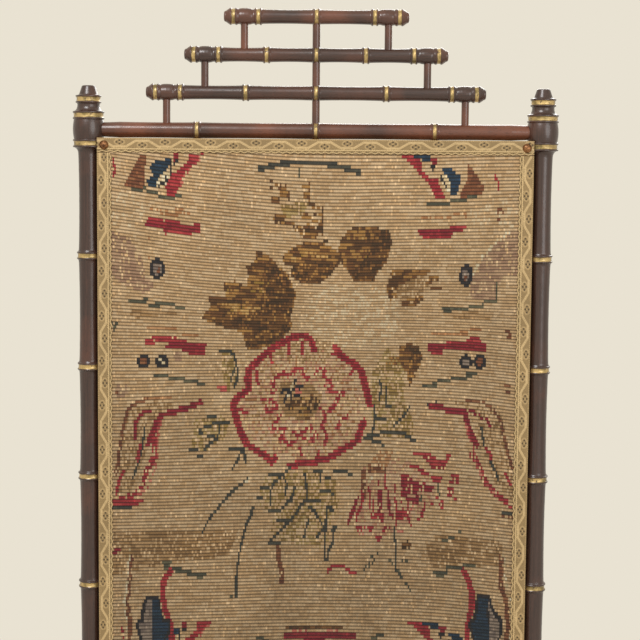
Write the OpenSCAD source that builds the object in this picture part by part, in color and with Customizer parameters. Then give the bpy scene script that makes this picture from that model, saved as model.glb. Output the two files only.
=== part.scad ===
// Cheval fire screen in ring-turned faux bamboo, with a stepped crest and a needlework panel.
// X runs left to right, Y front to back, Z up. The origin is on the floor, midway between the posts.
// The front faces -Y, and the axes of the posts and rails lie in the plane y = 0.

/* [Frame] */
// Distance between the axes of the two posts
post_spacing = 578; // [520:1:640]
// Height of the bottom rail's axis above the floor
bottom_rail_height = 175; // [165:1:220]
// Distance from the bottom rail's axis up to the top rail's axis
rail_rise = 749; // [660:1:840]

/* [Posts] */
// Diameter of a post at the waist of each length
post_waist_d = 25.2; // [22:0.1:27]
// Diameter of a post where it meets a ring
post_end_d = 26.8; // [25:0.1:28.5]
// Diameter over a post's rings
post_ring_d = 31.6; // [30:0.1:34]
// Diameter in the gilt groove between a post's rings
post_groove_d = 28.8; // [27:0.1:29.6]
// Number of ring pairs between the two sockets of a post
post_joints = 4; // [2:1:6]

/* [Sockets] */
// Diameter at the belly of a socket barrel
socket_belly_d = 40; // [37:0.1:43]
// Diameter of a barrel beside its rings
socket_neck_d = 37.4; // [35:0.1:39]
// Diameter over a barrel's rings
socket_ring_d = 40.2; // [38:0.1:43]
// Diameter in a barrel's gilt grooves
socket_groove_d = 37.2; // [35:0.1:38.5]
// Distance from the rail's axis to the middle of each gilt groove
socket_groove_offset = 17.8; // [15:0.1:20]
// Width from lip to lip over a gilt groove
socket_groove_width = 7.8; // [6:0.1:9]
// Length of the cove from a barrel's lip to the post
socket_cove = 9; // [7:0.1:11]
// Depth that a rail goes into its barrel
rail_socket_depth = 14; // [10:0.5:16]

/* [Finials] */
// Diameter of the neck under the finial
finial_neck_d = 28.2; // [25:0.1:31]
// Length of the plain neck between the barrel's cove and the finial
finial_neck = 0.4; // [0.2:0.1:3]
// Diameter over the finial's two lips
finial_ring_d = 32.8; // [30:0.1:36]
// Diameter in the finial's gilt groove
finial_groove_d = 29.8; // [28:0.1:30]
// Height of the finial above its seat
finial_height = 24.3; // [22:0.1:28]
// Diameter at the foot of the finial's cap
finial_cap_d = 23; // [20:0.1:26]
// Diameter at the top of the finial's cap
finial_top_d = 17.8; // [14:0.1:19]
// Diameter of the spigot under the finial
finial_spigot_d = 12; // [9:0.1:14]
// Length of the spigot under the finial
finial_spigot = 14; // [10:0.5:16]

/* [Rails] */
// Diameter of the top and bottom rails at the waist of each length
rail_waist_d = 19.4; // [17:0.1:20.4]
// Diameter of the top and bottom rails beside a ring
rail_end_d = 20; // [18.5:0.1:21]
// Diameter over the rings of the top and bottom rails
rail_ring_d = 23; // [22:0.1:24]
// Diameter of the top and bottom rails in their sockets
rail_tenon_d = 18.4; // [15:0.1:19]
// Distance from the middle to the outer rings of the top and bottom rails
rail_joint_offset = 151; // [130:1:170]

/* [Crest] */
// Rise from one crest rail to the next
crest_step = 47.8; // [42:0.1:56]
// Diameter of a crest rail at the waist of each length
crest_waist_d = 17.2; // [15:0.1:18.4]
// Diameter of a crest rail beside a ring
crest_end_d = 18.2; // [17:0.1:19]
// Diameter over a crest rail's rings
crest_ring_d = 21.6; // [20:0.1:23]
// Diameter in a crest rail's gilt grooves
crest_groove_d = 19.2; // [18:0.1:19.8]
// Diameter at the bulb near each end of a crest rail
crest_bulb_d = 21; // [19.6:0.1:22]
// Diameter at the very tip of a crest rail
crest_tip_d = 14; // [11:0.1:16]
// Half the distance between the spindles under the lower crest rail
lower_spindle_offset = 189.8; // [180:0.1:200]
// Half the distance between the spindles under the middle crest rail
middle_spindle_offset = 141.2; // [132:0.1:150]
// Half the distance between the spindles under the upper crest rail
upper_spindle_offset = 91.1; // [86:0.1:100]
// Distance from the middle to the inner rings of the lower crest rail
lower_joint_offset = 89.2; // [80:0.1:98]
// Distance from the middle to the inner rings of the middle crest rail
middle_joint_offset = 62.8; // [54:0.1:70]
// Diameter of the crest and base spindles
spindle_d = 9.5; // [7:0.1:10.5]
// Diameter of the rod up the middle of the crest
centre_rod_d = 9.8; // [8:0.1:10.8]
// Depth that a spindle goes into a rail
spindle_socket_depth = 6; // [4:0.1:7]

/* [Base] */
// Depth of the base from front to back
foot_length = 300; // [260:1:360]
// Height of a foot bar's axis above the floor
foot_height = 28; // [26:0.5:34]
// Diameter of a foot bar at the waist of each length
foot_waist_d = 24; // [21:0.1:25]
// Diameter of a post in its foot bar
post_tenon_d = 22; // [18:0.1:24]
// Distance that a post stops above its foot bar's axis
post_tenon_stop = 2; // [0:0.5:5]
// Drop from the bottom rail's axis to the stretcher's axis
stretcher_drop = 47.8; // [44:0.1:54]
// Diameter of the stretcher at the waist of each length
stretcher_waist_d = 17.2; // [15:0.1:18.4]
// Diameter of the stretcher in its sockets
stretcher_tenon_d = 14; // [11:0.1:16]
// Distance from a foot bar's middle to where the brace's axis meets the bar's axis
brace_reach = 66; // [58:0.5:72]
// Diameter of the pads under the foot bars
pad_d = 30; // [24:0.5:36]
// Diameter of the spigot on top of a pad
pad_spigot_d = 10; // [7:0.1:12]

/* [Panel] */
// Distance from the posts' axes forward to the front of the strainer
panel_set_forward = 14.5; // [12:0.1:16]
// Thickness of the strainer from front to back
strainer_depth = 20; // [16:0.5:24]
// Width of the strainer's stiles and rails
strainer_width = 38; // [32:0.5:46]
// Thickness of the lip that laps over the posts
lap_thickness = 4; // [3:0.1:5]
// Distance that the lip laps past the strainer's edge
lap_width = 3.8; // [2.5:0.1:6]
// Thickness of the tenons in the strainer's corners
strainer_tenon = 8; // [6:0.5:10]
// Length of the tenons in the strainer's corners
strainer_tenon_length = 24; // [16:1:28]
// Thickness of the worked canvas
needlework_t = 2; // [1.5:0.1:3]
// Thickness of the backing cloth
backing_t = 0.8; // [0.5:0.1:1.5]
// Distance of the backing cloth's edge inside the strainer's edge
backing_margin = 6; // [4:0.5:8]

/* [Braid] */
// Overall width of the braid
braid_w = 19; // [16:0.5:24]
// Thickness of the braid's flat band
braid_t = 1.4; // [1:0.1:2]
// Width of the flat band
braid_band_w = 12.6; // [9:0.1:14]
// Diameter of the two cords along the braid's inner side
braid_cord_d = 2; // [1.4:0.1:2.4]

/* [Fasteners] */
// Diameter of a corner nail's head
nail_head_d = 11.7; // [9:0.1:13]
// Height of a corner nail's head
nail_head_h = 4.2; // [3:0.1:6]
// Diameter of a corner nail's shank
nail_shank_d = 2.2; // [1.6:0.1:2.6]
// Length of a corner nail's shank behind the braid
nail_shank = 9; // [7:0.5:12]
// Distance of a corner nail from the braid's outer edges
nail_inset = 9.2; // [8:0.1:11]
// Diameter of a panel screw's shank
screw_d = 4.4; // [3:0.1:5]
// Diameter of a panel screw's head
screw_head_d = 8.6; // [7:0.1:10]
// Depth that a panel screw goes into the post
screw_bite = 11; // [8:0.5:13]
// Diameter of a backing tack's head
tack_head_d = 6; // [4:0.1:7]
// Height of a backing tack's head
tack_head_h = 1.4; // [0.8:0.1:2]
// Diameter of a backing tack's shank
tack_shank_d = 1.4; // [1:0.1:2]
// Length of a backing tack's shank
tack_shank = 6; // [4:0.5:9]
// Greatest distance between the backing tacks
tack_pitch = 110; // [80:1:160]

/* [Fits] */
// Gap round a tenon, dowel or shank in its hole
fit = 0.05; // [0.02:0.01:0.15]
// Gap between the end of a tenon or dowel and the bottom of its hole
end_gap = 0.3; // [0.1:0.1:1]
// Gap between the panel and the frame round it
panel_gap = 0.4; // [0.2:0.1:1]

/* [Hidden] */

$fn = 72;
// Small overshoot that makes a cut break through a face
cut = 1;

// Colours
dark_wood = "#42322b";
red_wood = "#5f4132";
pine = "#b08f62";
wool = "#97774f";
gimp = "#a4885e";
linen = "#8d8168";
brass = "#8a6a48";
steel = "#77716a";

// Heights of the rails
post_x = post_spacing / 2;
top_rail_z = bottom_rail_height + rail_rise;
stretcher_z = bottom_rail_height - stretcher_drop;
crest_lower_z = top_rail_z + crest_step;
crest_middle_z = top_rail_z + 2 * crest_step;
crest_upper_z = top_rail_z + 3 * crest_step;

// Lip at each side of a gilt groove, and the length of its curves
lip_half = 1.1;
lip_height = 0.7;
post_groove_width = 7.4;
post_cove = 5;
rail_groove_width = 6.2;
rail_cove = 3.2;
joint_end = socket_groove_offset + socket_groove_width / 2 + socket_cove;

// Waist, end, ring and groove diameters, lip spacing and cove length of each kind of turning
post_stock = [post_waist_d, post_end_d, post_ring_d, post_groove_d, post_groove_width, post_cove];
rail_stock = [rail_waist_d, rail_end_d, rail_ring_d, (rail_end_d + rail_ring_d) / 2 - 0.6,
              rail_groove_width, rail_cove];
crest_stock = [crest_waist_d, crest_end_d, crest_ring_d, crest_groove_d, rail_groove_width, rail_cove];
stretcher_stock = [stretcher_waist_d, stretcher_waist_d + 0.8, stretcher_waist_d + 4,
                   stretcher_waist_d + 1.8, rail_groove_width, rail_cove];

// Size of a foot bar's turnings against a crest rail's
foot_scale = foot_waist_d / crest_waist_d;
foot_stock = [for (size = crest_stock) size * foot_scale];
foot_barrel = 26;
foot_barrel_d = socket_belly_d - 2;

// Places along a capped rail's end, measured from its tip, for a crest rail
tip_outer_lip = 8.5;
tip_inner_lip = 15.6;
tip_bulb = 26;
tip_joint = 43.5;
tip_round = 2.6;
pad_inset = tip_bulb * foot_scale;
foot_bulb_d = crest_bulb_d * foot_scale;
foot_shoulder_z = foot_height - foot_bulb_d / 2;
pad_spigot = foot_bulb_d * 0.35;

// Posts between their sockets, and below the lower one
joint_pitch = (rail_rise - 2 * socket_groove_offset) / (post_joints + 1);
post_joint_z = [for (i = [1:post_joints])
    bottom_rail_height + socket_groove_offset + i * joint_pitch];
post_bottom_z = foot_height + post_tenon_stop;
post_shoulder_z = foot_height + foot_barrel_d / 2 + 1;
foot_joint_z = post_shoulder_z + post_groove_width / 2 + post_cove + 1;
finial_seat_z = top_rail_z + joint_end + finial_neck;

// Rails that run between the posts: half lengths, and where their tenons begin
rail_half = post_x - socket_belly_d / 2 + rail_socket_depth;
rail_tenon_x = post_x - socket_belly_d / 2 - 0.5;
rail_taper = 20;
stretcher_stop = 5;
stretcher_half = post_x - stretcher_stop;
stretcher_tenon_x = post_x - post_ring_d / 2;

// Braces rake at 45 degrees from the post down to the foot bar
brace_z = foot_height + brace_reach;
brace_top_stop = 7;
brace_foot_stop = 4.5;
brace_length = brace_reach * sqrt(2) - brace_top_stop - brace_foot_stop - 2 * end_gap;

// Panel, measured from the frame round it
strainer_front = -panel_set_forward;
strainer_back = strainer_front + strainer_depth;
strainer_x = post_x - post_ring_d / 2 - panel_gap;
strainer_top = top_rail_z - rail_ring_d / 2 - panel_gap;
strainer_bottom = bottom_rail_height + rail_ring_d / 2 + panel_gap;
lap_rise = 1.4;
panel_x = strainer_x + lap_width;
panel_top = strainer_top + lap_rise;
panel_bottom = strainer_bottom - lap_rise;
needlework_front = strainer_front - needlework_t;
braid_front = needlework_front - braid_t;
canvas_edge = 0.5;
// Depth of a selvedge ridge's centre under the band's face
selvedge_sink = 0.6;
cope_r = max(socket_belly_d, socket_ring_d) / 2 + panel_gap;
stile_inner = strainer_x - strainer_width;
rail_inner_z = strainer_top - strainer_width;
rail_inner_bottom = strainer_bottom + strainer_width;
panel_mid_z = (strainer_top + strainer_bottom) / 2;
tenon_y = strainer_front + (strainer_depth - strainer_tenon) / 2;
tenon_shoulder = 6;
tenon_height = strainer_width - 2 * tenon_shoulder;
// The cross bar stands this far behind the canvas and in front of the backing cloth
cross_bar_set_back = 3;

// Fasteners
nail_x = panel_x - nail_inset;
nail_z = [panel_bottom + nail_inset, panel_top - nail_inset];
screw_z = [post_joint_z[0], post_joint_z[post_joints - 1]];
screw_head_h = (screw_head_d - screw_d) / 2;
screw_tip_x = post_x - post_groove_d / 2 + screw_bite;
backing_x = strainer_x - backing_margin;
backing_top = strainer_top - backing_margin;
backing_bottom = strainer_bottom + backing_margin;
tack_inset = 8;
tack_x = backing_x - tack_inset;
tack_top = backing_top - tack_inset;
tack_bottom = backing_bottom + tack_inset;
tack_cols = ceil(2 * tack_x / tack_pitch);
tack_rows = ceil((tack_top - tack_bottom) / tack_pitch);
tack_places = concat(
    [for (i = [0:tack_cols], z = [tack_bottom, tack_top]) [-tack_x + i * 2 * tack_x / tack_cols, z]],
    [for (i = [1:tack_rows - 1], x = [-tack_x, tack_x])
        [x, tack_bottom + i * (tack_top - tack_bottom) / tack_rows]]
);

// Profile points are [radius, distance along the turning's axis].

// Concave sweep that leaves [r0, z0] along the axis and reaches [r1, z1] across it
function cove(r0, z0, r1, z1, steps = 3) = [
    for (i = [0:steps]) let (a = 90 * i / steps)
        [r0 + (r1 - r0) * (1 - cos(a)), z0 + (z1 - z0) * sin(a)]
];

// Rounded lip centred at z, standing lip_height over r
function lip(r, z) = [
    for (a = [30:40:150]) [r + lip_height * sin(a), z - lip_half * cos(a)]
];

// Hollow groove between two lips, centred at z
function hollow(r_edge, r_floor, z, width) = [
    for (a = [0:45:180])
        [r_edge + (r_floor - r_edge) * sin(a), z - (width / 2 - lip_half) * cos(a)]
];

// Bamboo joint centred at z: cove, lip, gilt groove, lip, cove
function joint(stock, z) = let (
    end_r = stock[1] / 2,
    lip_r = stock[2] / 2 - lip_height,
    half = stock[4] / 2,
    reach = half + stock[5]
) concat(
    cove(end_r, z - reach, lip_r, z - half - lip_half),
    lip(lip_r, z - half),
    hollow(lip_r, stock[3] / 2, z, stock[4]),
    lip(lip_r, z + half),
    reversed(cove(end_r, z + reach, lip_r, z + half + lip_half))
);

// Gently waisted length between z0 and z1, without its end points
function waist(stock, z0, z1, steps = 6) = [
    for (i = [1:steps - 1]) let (u = 2 * i / steps - 1)
        [stock[0] / 2 + (stock[1] - stock[0]) / 2 * u * u, z0 + (z1 - z0) * i / steps]
];

// Joints at the heights in zs with waisted lengths between them
function bamboo(stock, zs) = [
    for (i = [0:len(zs) - 1]) each concat(
        joint(stock, zs[i]),
        i < len(zs) - 1
            ? waist(stock, zs[i] + stock[4] / 2 + stock[5], zs[i + 1] - stock[4] / 2 - stock[5])
            : []
    )
];

function reversed(points) = [for (i = [len(points) - 1:-1:0]) points[i]];

// The same outline turned end for end about z = 0
function mirrored(points) = [for (p = reversed(points)) [p[0], -p[1]]];

function shifted(points, dz) = [for (p = points) [p[0], p[1] + dz]];

// Capped end of a rail whose tip is at z = 0, up to the middle of its first joint
function capped_end(stock, bulb_d, tip_d, s) = let (
    lip_r = stock[2] / 2 - lip_height,
    tip_r = tip_d / 2,
    valley_r = stock[1] / 2 + 0.3 * s,
    bulb_r = bulb_d / 2,
    outer = tip_outer_lip * s,
    inner = tip_inner_lip * s,
    bulb = tip_bulb * s,
    valley_in = inner + 3.4 * s,
    valley_out = (tip_joint - 8) * s
) concat(
    [for (a = [0:30:90]) [tip_r - tip_round * (1 - sin(a)), tip_round * (1 - cos(a))]],
    [[(tip_r + 2 * lip_r) / 3, outer - 3 * s]],
    lip(lip_r, outer),
    hollow(lip_r, stock[3] / 2, (outer + inner) / 2, inner - outer),
    lip(lip_r, inner),
    [for (a = [0:30:180]) let (z0 = valley_in, z1 = valley_out)
        [valley_r + (bulb_r - valley_r) * sin(a), a <= 90
            ? bulb - (bulb - z0) * cos(a)
            : bulb - (z1 - bulb) * cos(a)]]
);

// Socket barrel centred on its rail's axis, from the middle of its lower groove to the upper one
function barrel_belly() = let (
    lip_r = socket_ring_d / 2 - lip_height,
    half = socket_groove_offset - socket_groove_width / 2
) concat(
    lip(lip_r, -half),
    [for (u = [-1:0.25:1])
        [socket_belly_d / 2 - (socket_belly_d - socket_neck_d) / 2 * u * u, u * (half - lip_half - 0.6)]],
    lip(lip_r, half)
);

// Gilt groove, outer lip and cove above a barrel, ending at r_end
function barrel_shoulder(r_end) = let (
    lip_r = socket_ring_d / 2 - lip_height,
    outer = socket_groove_offset + socket_groove_width / 2
) concat(
    hollow(lip_r, socket_groove_d / 2, socket_groove_offset, socket_groove_width),
    lip(lip_r, outer),
    reversed(cove(r_end, outer + socket_cove, lip_r, outer + lip_half, 5))
);

// Turned solid about the Z axis; the points run upwards
module turned(points) {
    first = points[0];
    last = points[len(points) - 1];
    rotate_extrude()
        polygon(concat([[0, first[1]]], points, [[0, last[1]]]));
}

// Lays a turning along X, so that its height runs left to right
module along_x(z) {
    translate([0, 0, z]) rotate([0, 90, 0]) children();
}

// Hole or dowel of diameter d from the point at, along the axis given by turn
module rod(at, turn, d, length) {
    translate(at) rotate(turn) cylinder(d = d, h = length);
}

// Post on the right; the left one is its mirror image
module post_solid() {
    low = shifted(mirrored(barrel_shoulder(post_end_d / 2)), bottom_rail_height);
    lower_belly = shifted(barrel_belly(), bottom_rail_height);
    between = shifted(barrel_shoulder(post_end_d / 2), bottom_rail_height);
    high = shifted(mirrored(barrel_shoulder(post_end_d / 2)), top_rail_z);
    upper_belly = shifted(barrel_belly(), top_rail_z);
    neck = shifted(barrel_shoulder(finial_neck_d / 2), top_rail_z);
    reach = post_groove_width / 2 + post_cove;
    first_joint = post_joint_z[0];
    last_joint = post_joint_z[post_joints - 1];
    difference() {
        translate([post_x, 0, 0])
            turned(concat(
                [[post_tenon_d / 2, post_bottom_z]],
                [[post_tenon_d / 2, post_shoulder_z]],
                joint(post_stock, foot_joint_z),
                waist(post_stock, foot_joint_z + reach, bottom_rail_height - joint_end),
                low,
                lower_belly,
                between,
                waist(post_stock, bottom_rail_height + joint_end, first_joint - reach),
                bamboo(post_stock, post_joint_z),
                waist(post_stock, last_joint + reach, top_rail_z - joint_end),
                high,
                upper_belly,
                neck,
                [[finial_neck_d / 2, finial_seat_z]]
            ));
        for (z = [bottom_rail_height, top_rail_z])
            rod([post_x - socket_belly_d / 2 - cut, 0, z], [0, 90, 0], rail_tenon_d + 2 * fit,
                rail_socket_depth + end_gap + cut);
        rod([post_x - post_ring_d / 2 - cut, 0, stretcher_z], [0, 90, 0], stretcher_tenon_d + 2 * fit,
            post_ring_d / 2 + cut - stretcher_stop + end_gap);
        rod([post_x, 0, finial_seat_z - finial_spigot - end_gap], [0, 0, 0],
            finial_spigot_d + 2 * fit, finial_spigot + end_gap + cut);
        for (z = screw_z)
            rod([strainer_x, 0, z], [0, 90, 0], screw_d + 2 * fit, screw_tip_x + end_gap - strainer_x);
        for (side = [-1, 1])
            translate([post_x, 0, brace_z])
                rotate([side * 135, 0, 0])
                    translate([0, 0, brace_top_stop])
                        cylinder(d = spindle_d + 2 * fit, h = post_ring_d);
    }
}

module left_post() {
    color(dark_wood) mirror([1, 0, 0]) post_solid();
}

module right_post() {
    color(dark_wood) post_solid();
}

module finial_solid() {
    lip_r = finial_ring_d / 2 - lip_height;
    low = 3.2;
    high = low + 7.6;
    cap = high + 3.4;
    translate([post_x, 0, finial_seat_z])
        turned(concat(
            [[finial_spigot_d / 2, -finial_spigot]],
            [[finial_spigot_d / 2, 0]],
            cove(finial_neck_d / 2, 0, lip_r, low - lip_half),
            lip(lip_r, low),
            hollow(lip_r, finial_groove_d / 2, (low + high) / 2, high - low),
            lip(lip_r, high),
            reversed(cove(finial_cap_d / 2, cap, lip_r - 0.4, high + lip_half)),
            [for (a = [0:30:90])
                [finial_top_d / 2 - 2.4 * (1 - cos(a)), finial_height - 2.4 + 2.4 * sin(a)]]
        ));
}

module left_finial() {
    color(dark_wood) mirror([1, 0, 0]) finial_solid();
}

module right_finial() {
    color(dark_wood) finial_solid();
}

// Rail with three joints that tapers to a tenon at each end, where tenon_x is the tenon's shoulder
module jointed_rail(stock, half, tenon_x, tenon_d) {
    inner = rail_joint_offset + stock[4] / 2 + stock[5];
    outer = tenon_x - rail_taper;
    turned(concat(
        [[tenon_d / 2, -half]],
        [[tenon_d / 2, -tenon_x]],
        [[stock[1] / 2, -outer]],
        waist(stock, -outer, -inner),
        bamboo(stock, [-rail_joint_offset, 0, rail_joint_offset]),
        waist(stock, inner, outer),
        [[stock[1] / 2, outer]],
        [[tenon_d / 2, tenon_x]],
        [[tenon_d / 2, half]]
    ));
}

module top_rail() {
    color(red_wood)
        difference() {
            along_x(top_rail_z)
                jointed_rail(rail_stock, rail_half, rail_tenon_x, rail_tenon_d);
            for (x = [-lower_spindle_offset, lower_spindle_offset])
                spindle_hole([x, 0, top_rail_z], rail_waist_d, spindle_d, 1);
            spindle_hole([0, 0, top_rail_z], rail_waist_d, centre_rod_d, 1);
        }
}

module bottom_rail() {
    color(red_wood)
        difference() {
            along_x(bottom_rail_height)
                jointed_rail(rail_stock, rail_half, rail_tenon_x, rail_tenon_d);
            for (x = [-lower_spindle_offset, 0, lower_spindle_offset])
                spindle_hole([x, 0, bottom_rail_height], rail_waist_d, spindle_d, -1);
        }
}

module stretcher() {
    color(dark_wood)
        difference() {
            along_x(stretcher_z)
                jointed_rail(stretcher_stock, stretcher_half, stretcher_tenon_x, stretcher_tenon_d);
            for (x = [-lower_spindle_offset, 0, lower_spindle_offset])
                spindle_hole([x, 0, stretcher_z], stretcher_waist_d, spindle_d, 1);
        }
}

// Blind hole in a rail's upper (up = 1) or lower (up = -1) side
module spindle_hole(at, rail_d, d, up) {
    floor_z = rail_d / 2 - spindle_socket_depth - end_gap;
    translate(at)
        rotate([up > 0 ? 0 : 180, 0, 0])
            translate([0, 0, floor_z])
                cylinder(d = d + 2 * fit, h = rail_d);
}

// Crest rail of the given half length, with joints at the middle and at the offsets in inner
module crest_rail_solid(half, inner) {
    end_joint = half - tip_joint;
    joints = concat([-end_joint], [for (x = reversed(inner)) -x], [0], inner, [end_joint]);
    cap = shifted(capped_end(crest_stock, crest_bulb_d, crest_tip_d, 1), -half);
    turned(concat(cap, bamboo(crest_stock, joints), mirrored(cap)));
}

module crest_rail_lower() {
    color(dark_wood)
        difference() {
            along_x(crest_lower_z)
                crest_rail_solid(lower_spindle_offset + tip_bulb, [lower_joint_offset]);
            for (x = [-lower_spindle_offset, lower_spindle_offset])
                spindle_hole([x, 0, crest_lower_z], crest_bulb_d, spindle_d, -1);
            for (x = [-middle_spindle_offset, middle_spindle_offset])
                spindle_hole([x, 0, crest_lower_z], crest_waist_d, spindle_d, 1);
            rod([0, 0, crest_lower_z - crest_ring_d], [0, 0, 0], centre_rod_d + 2 * fit, 2 * crest_ring_d);
        }
}

module crest_rail_middle() {
    color(dark_wood)
        difference() {
            along_x(crest_middle_z)
                crest_rail_solid(middle_spindle_offset + tip_bulb, [middle_joint_offset]);
            for (x = [-middle_spindle_offset, middle_spindle_offset])
                spindle_hole([x, 0, crest_middle_z], crest_bulb_d, spindle_d, -1);
            for (x = [-upper_spindle_offset, upper_spindle_offset])
                spindle_hole([x, 0, crest_middle_z], crest_waist_d, spindle_d, 1);
            rod([0, 0, crest_middle_z - crest_ring_d], [0, 0, 0], centre_rod_d + 2 * fit, 2 * crest_ring_d);
        }
}

module crest_rail_upper() {
    color(dark_wood)
        difference() {
            along_x(crest_upper_z) crest_rail_solid(upper_spindle_offset + tip_bulb, []);
            for (x = [-upper_spindle_offset, upper_spindle_offset])
                spindle_hole([x, 0, crest_upper_z], crest_bulb_d, spindle_d, -1);
            spindle_hole([0, 0, crest_upper_z], crest_waist_d, centre_rod_d, -1);
        }
}

// Dowel at x from the hole in a lower rail to the hole in an upper one
module spindle(x, z0, lower_d, z1, upper_d, d) {
    bottom = z0 + lower_d / 2 - spindle_socket_depth;
    top = z1 - upper_d / 2 + spindle_socket_depth;
    color(dark_wood) rod([x, 0, bottom], [0, 0, 0], d, top - bottom);
}

module lower_spindle(side) {
    spindle(side * lower_spindle_offset, top_rail_z, rail_waist_d, crest_lower_z, crest_bulb_d, spindle_d);
}

module middle_spindle(side) {
    spindle(side * middle_spindle_offset, crest_lower_z, crest_waist_d, crest_middle_z, crest_bulb_d,
            spindle_d);
}

module upper_spindle(side) {
    spindle(side * upper_spindle_offset, crest_middle_z, crest_waist_d, crest_upper_z, crest_bulb_d,
            spindle_d);
}

module crest_centre_rod() {
    spindle(0, top_rail_z, rail_waist_d, crest_upper_z, crest_waist_d, centre_rod_d);
}

module base_spindle(x) {
    spindle(x, stretcher_z, stretcher_waist_d, bottom_rail_height, rail_waist_d, spindle_d);
}

// Foot bar on the right, lying front to back, with a barrel in its middle for the post
module foot_solid() {
    half = foot_length / 2;
    reach = foot_stock[4] / 2 + foot_stock[5];
    end_joint = half - tip_joint * foot_scale;
    lip_r = foot_barrel_d / 2 - lip_height;
    cap = shifted(capped_end(foot_stock, foot_bulb_d, crest_tip_d * foot_scale, foot_scale), -half);
    side = concat(
        cap,
        joint(foot_stock, -end_joint),
        waist(foot_stock, -end_joint + reach, -foot_barrel - socket_cove),
        cove(foot_stock[1] / 2, -foot_barrel - socket_cove, lip_r, -foot_barrel - lip_half, 4),
        lip(lip_r, -foot_barrel)
    );
    belly = [for (u = [-1:0.25:1])
        [foot_barrel_d / 2 - 1.4 * u * u, u * (foot_barrel - lip_half - 0.6)]];
    difference() {
        translate([post_x, 0, foot_height])
            rotate([-90, 0, 0])
                turned(concat(side, belly, mirrored(side)));
        rod([post_x, 0, post_bottom_z - end_gap], [0, 0, 0], post_tenon_d + 2 * fit, foot_barrel_d);
        for (y = [-half + pad_inset, half - pad_inset])
            rod([post_x, y, 0], [0, 0, 45], pad_spigot_d + 2 * fit, foot_shoulder_z + pad_spigot + end_gap);
        for (turn = [45, -45])
            translate([post_x, turn > 0 ? -brace_reach : brace_reach, foot_height])
                rotate([-turn, 0, 0])
                    translate([0, 0, brace_foot_stop])
                        cylinder(d = spindle_d + 2 * fit, h = foot_barrel_d);
    }
}

module left_foot() {
    color(dark_wood) mirror([1, 0, 0]) foot_solid();
}

module right_foot() {
    color(dark_wood) foot_solid();
}

// Raking dowel from the foot bar up to the post; front is 1 towards the front, -1 towards the back
module brace(side, front) {
    color(dark_wood)
        translate([side * post_x, -front * brace_reach, foot_height])
            rotate([-front * 45, 0, 0])
                translate([0, 0, brace_foot_stop + end_gap])
                    cylinder(d = spindle_d, h = brace_length);
}

// Turned pad with a spigot up into the foot bar's bulb
module foot_pad(side, front) {
    r = pad_d / 2;
    top = foot_shoulder_z - 0.1;
    color(dark_wood)
        translate([side * post_x, -front * (foot_length / 2 - pad_inset), 0])
            turned(concat(
                [[r - 3.4, 0]],
                [for (a = [-60:30:60]) [r - 3 + 3 * cos(a), top * 0.45 + top * 0.42 * sin(a)]],
                [[r - 5, top]],
                [[pad_spigot_d / 2, top]],
                [[pad_spigot_d / 2, foot_shoulder_z + pad_spigot]]
            ));
}

// Clearance round the posts and their sockets, cut out of whatever the panel brings near them
module post_clearance() {
    for (side = [-1, 1]) {
        translate([side * post_x, 0, bottom_rail_height])
            cylinder(r = post_ring_d / 2 + panel_gap, h = rail_rise);
        for (z = [bottom_rail_height, top_rail_z])
            translate([side * post_x, 0, z - joint_end - cut])
                cylinder(r = cope_r, h = 2 * joint_end + 2 * cut);
    }
}

// Holes for the corner nails, and the hollows that their heads press into the braid's cords
module nail_holes() {
    for (x = [-nail_x, nail_x], z = nail_z) {
        rod([x, braid_front - cut, z], [-90, 0, 0], nail_shank_d + 2 * fit, nail_shank + end_gap + cut);
        rod([x, braid_front - 2 * nail_head_h, z], [-90, 0, 0], nail_head_d + 2 * fit, 2 * nail_head_h);
    }
}

module tack_holes() {
    for (p = tack_places)
        rod([p[0], strainer_back + backing_t - tack_shank - end_gap, p[1]], [-90, 0, 0],
            tack_shank_d + 2 * fit, tack_shank + end_gap + cut);
}

// Stile on the right with its front lip, mortises and screw holes
module stile_solid() {
    mortise_x = strainer_tenon_length + end_gap;
    difference() {
        translate([0, 0, panel_bottom])
            linear_extrude(panel_top - panel_bottom)
                polygon([
                    [stile_inner, strainer_front],
                    [panel_x, strainer_front],
                    [panel_x, strainer_front + lap_thickness],
                    [strainer_x, strainer_front + lap_thickness],
                    [strainer_x, strainer_back],
                    [stile_inner, strainer_back],
                ]);
        for (z = [panel_bottom - cut, strainer_top])
            translate([0, strainer_front + lap_thickness, z])
                cube([panel_x + cut, strainer_depth, lap_rise + cut]);
        for (z = [strainer_bottom + tenon_shoulder, panel_mid_z - strainer_width / 2 + tenon_shoulder,
                  rail_inner_z + tenon_shoulder])
            translate([stile_inner - cut, tenon_y - fit, z - fit])
                cube([mortise_x + cut, strainer_tenon + 2 * fit, tenon_height + 2 * fit]);
        for (z = screw_z) {
            rod([stile_inner - cut, 0, z], [0, 90, 0], screw_d + 2 * fit, strainer_width + 2 * cut);
            translate([stile_inner, 0, z])
                rotate([0, 90, 0])
                    cylinder(d1 = screw_head_d + 2 * fit, d2 = screw_d + 2 * fit, h = screw_head_h);
        }
        post_clearance();
        nail_holes();
        tack_holes();
    }
}

module strainer_left_stile() {
    color(pine) mirror([1, 0, 0]) stile_solid();
}

module strainer_right_stile() {
    color(pine) stile_solid();
}

// Strainer rail between the stiles, its lower edge at z, with a tenon at each end
module strainer_rail_solid(z) {
    translate([-stile_inner, strainer_front, z])
        cube([2 * stile_inner, strainer_depth, strainer_width]);
    translate([-stile_inner - strainer_tenon_length, tenon_y, z + tenon_shoulder])
        cube([2 * stile_inner + 2 * strainer_tenon_length, strainer_tenon, tenon_height]);
}

module strainer_top_rail() {
    color(pine)
        difference() {
            union() {
                strainer_rail_solid(rail_inner_z);
                translate([-stile_inner, strainer_front, strainer_top - cut])
                    cube([2 * stile_inner, lap_thickness, lap_rise + cut]);
            }
            tack_holes();
        }
}

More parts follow.
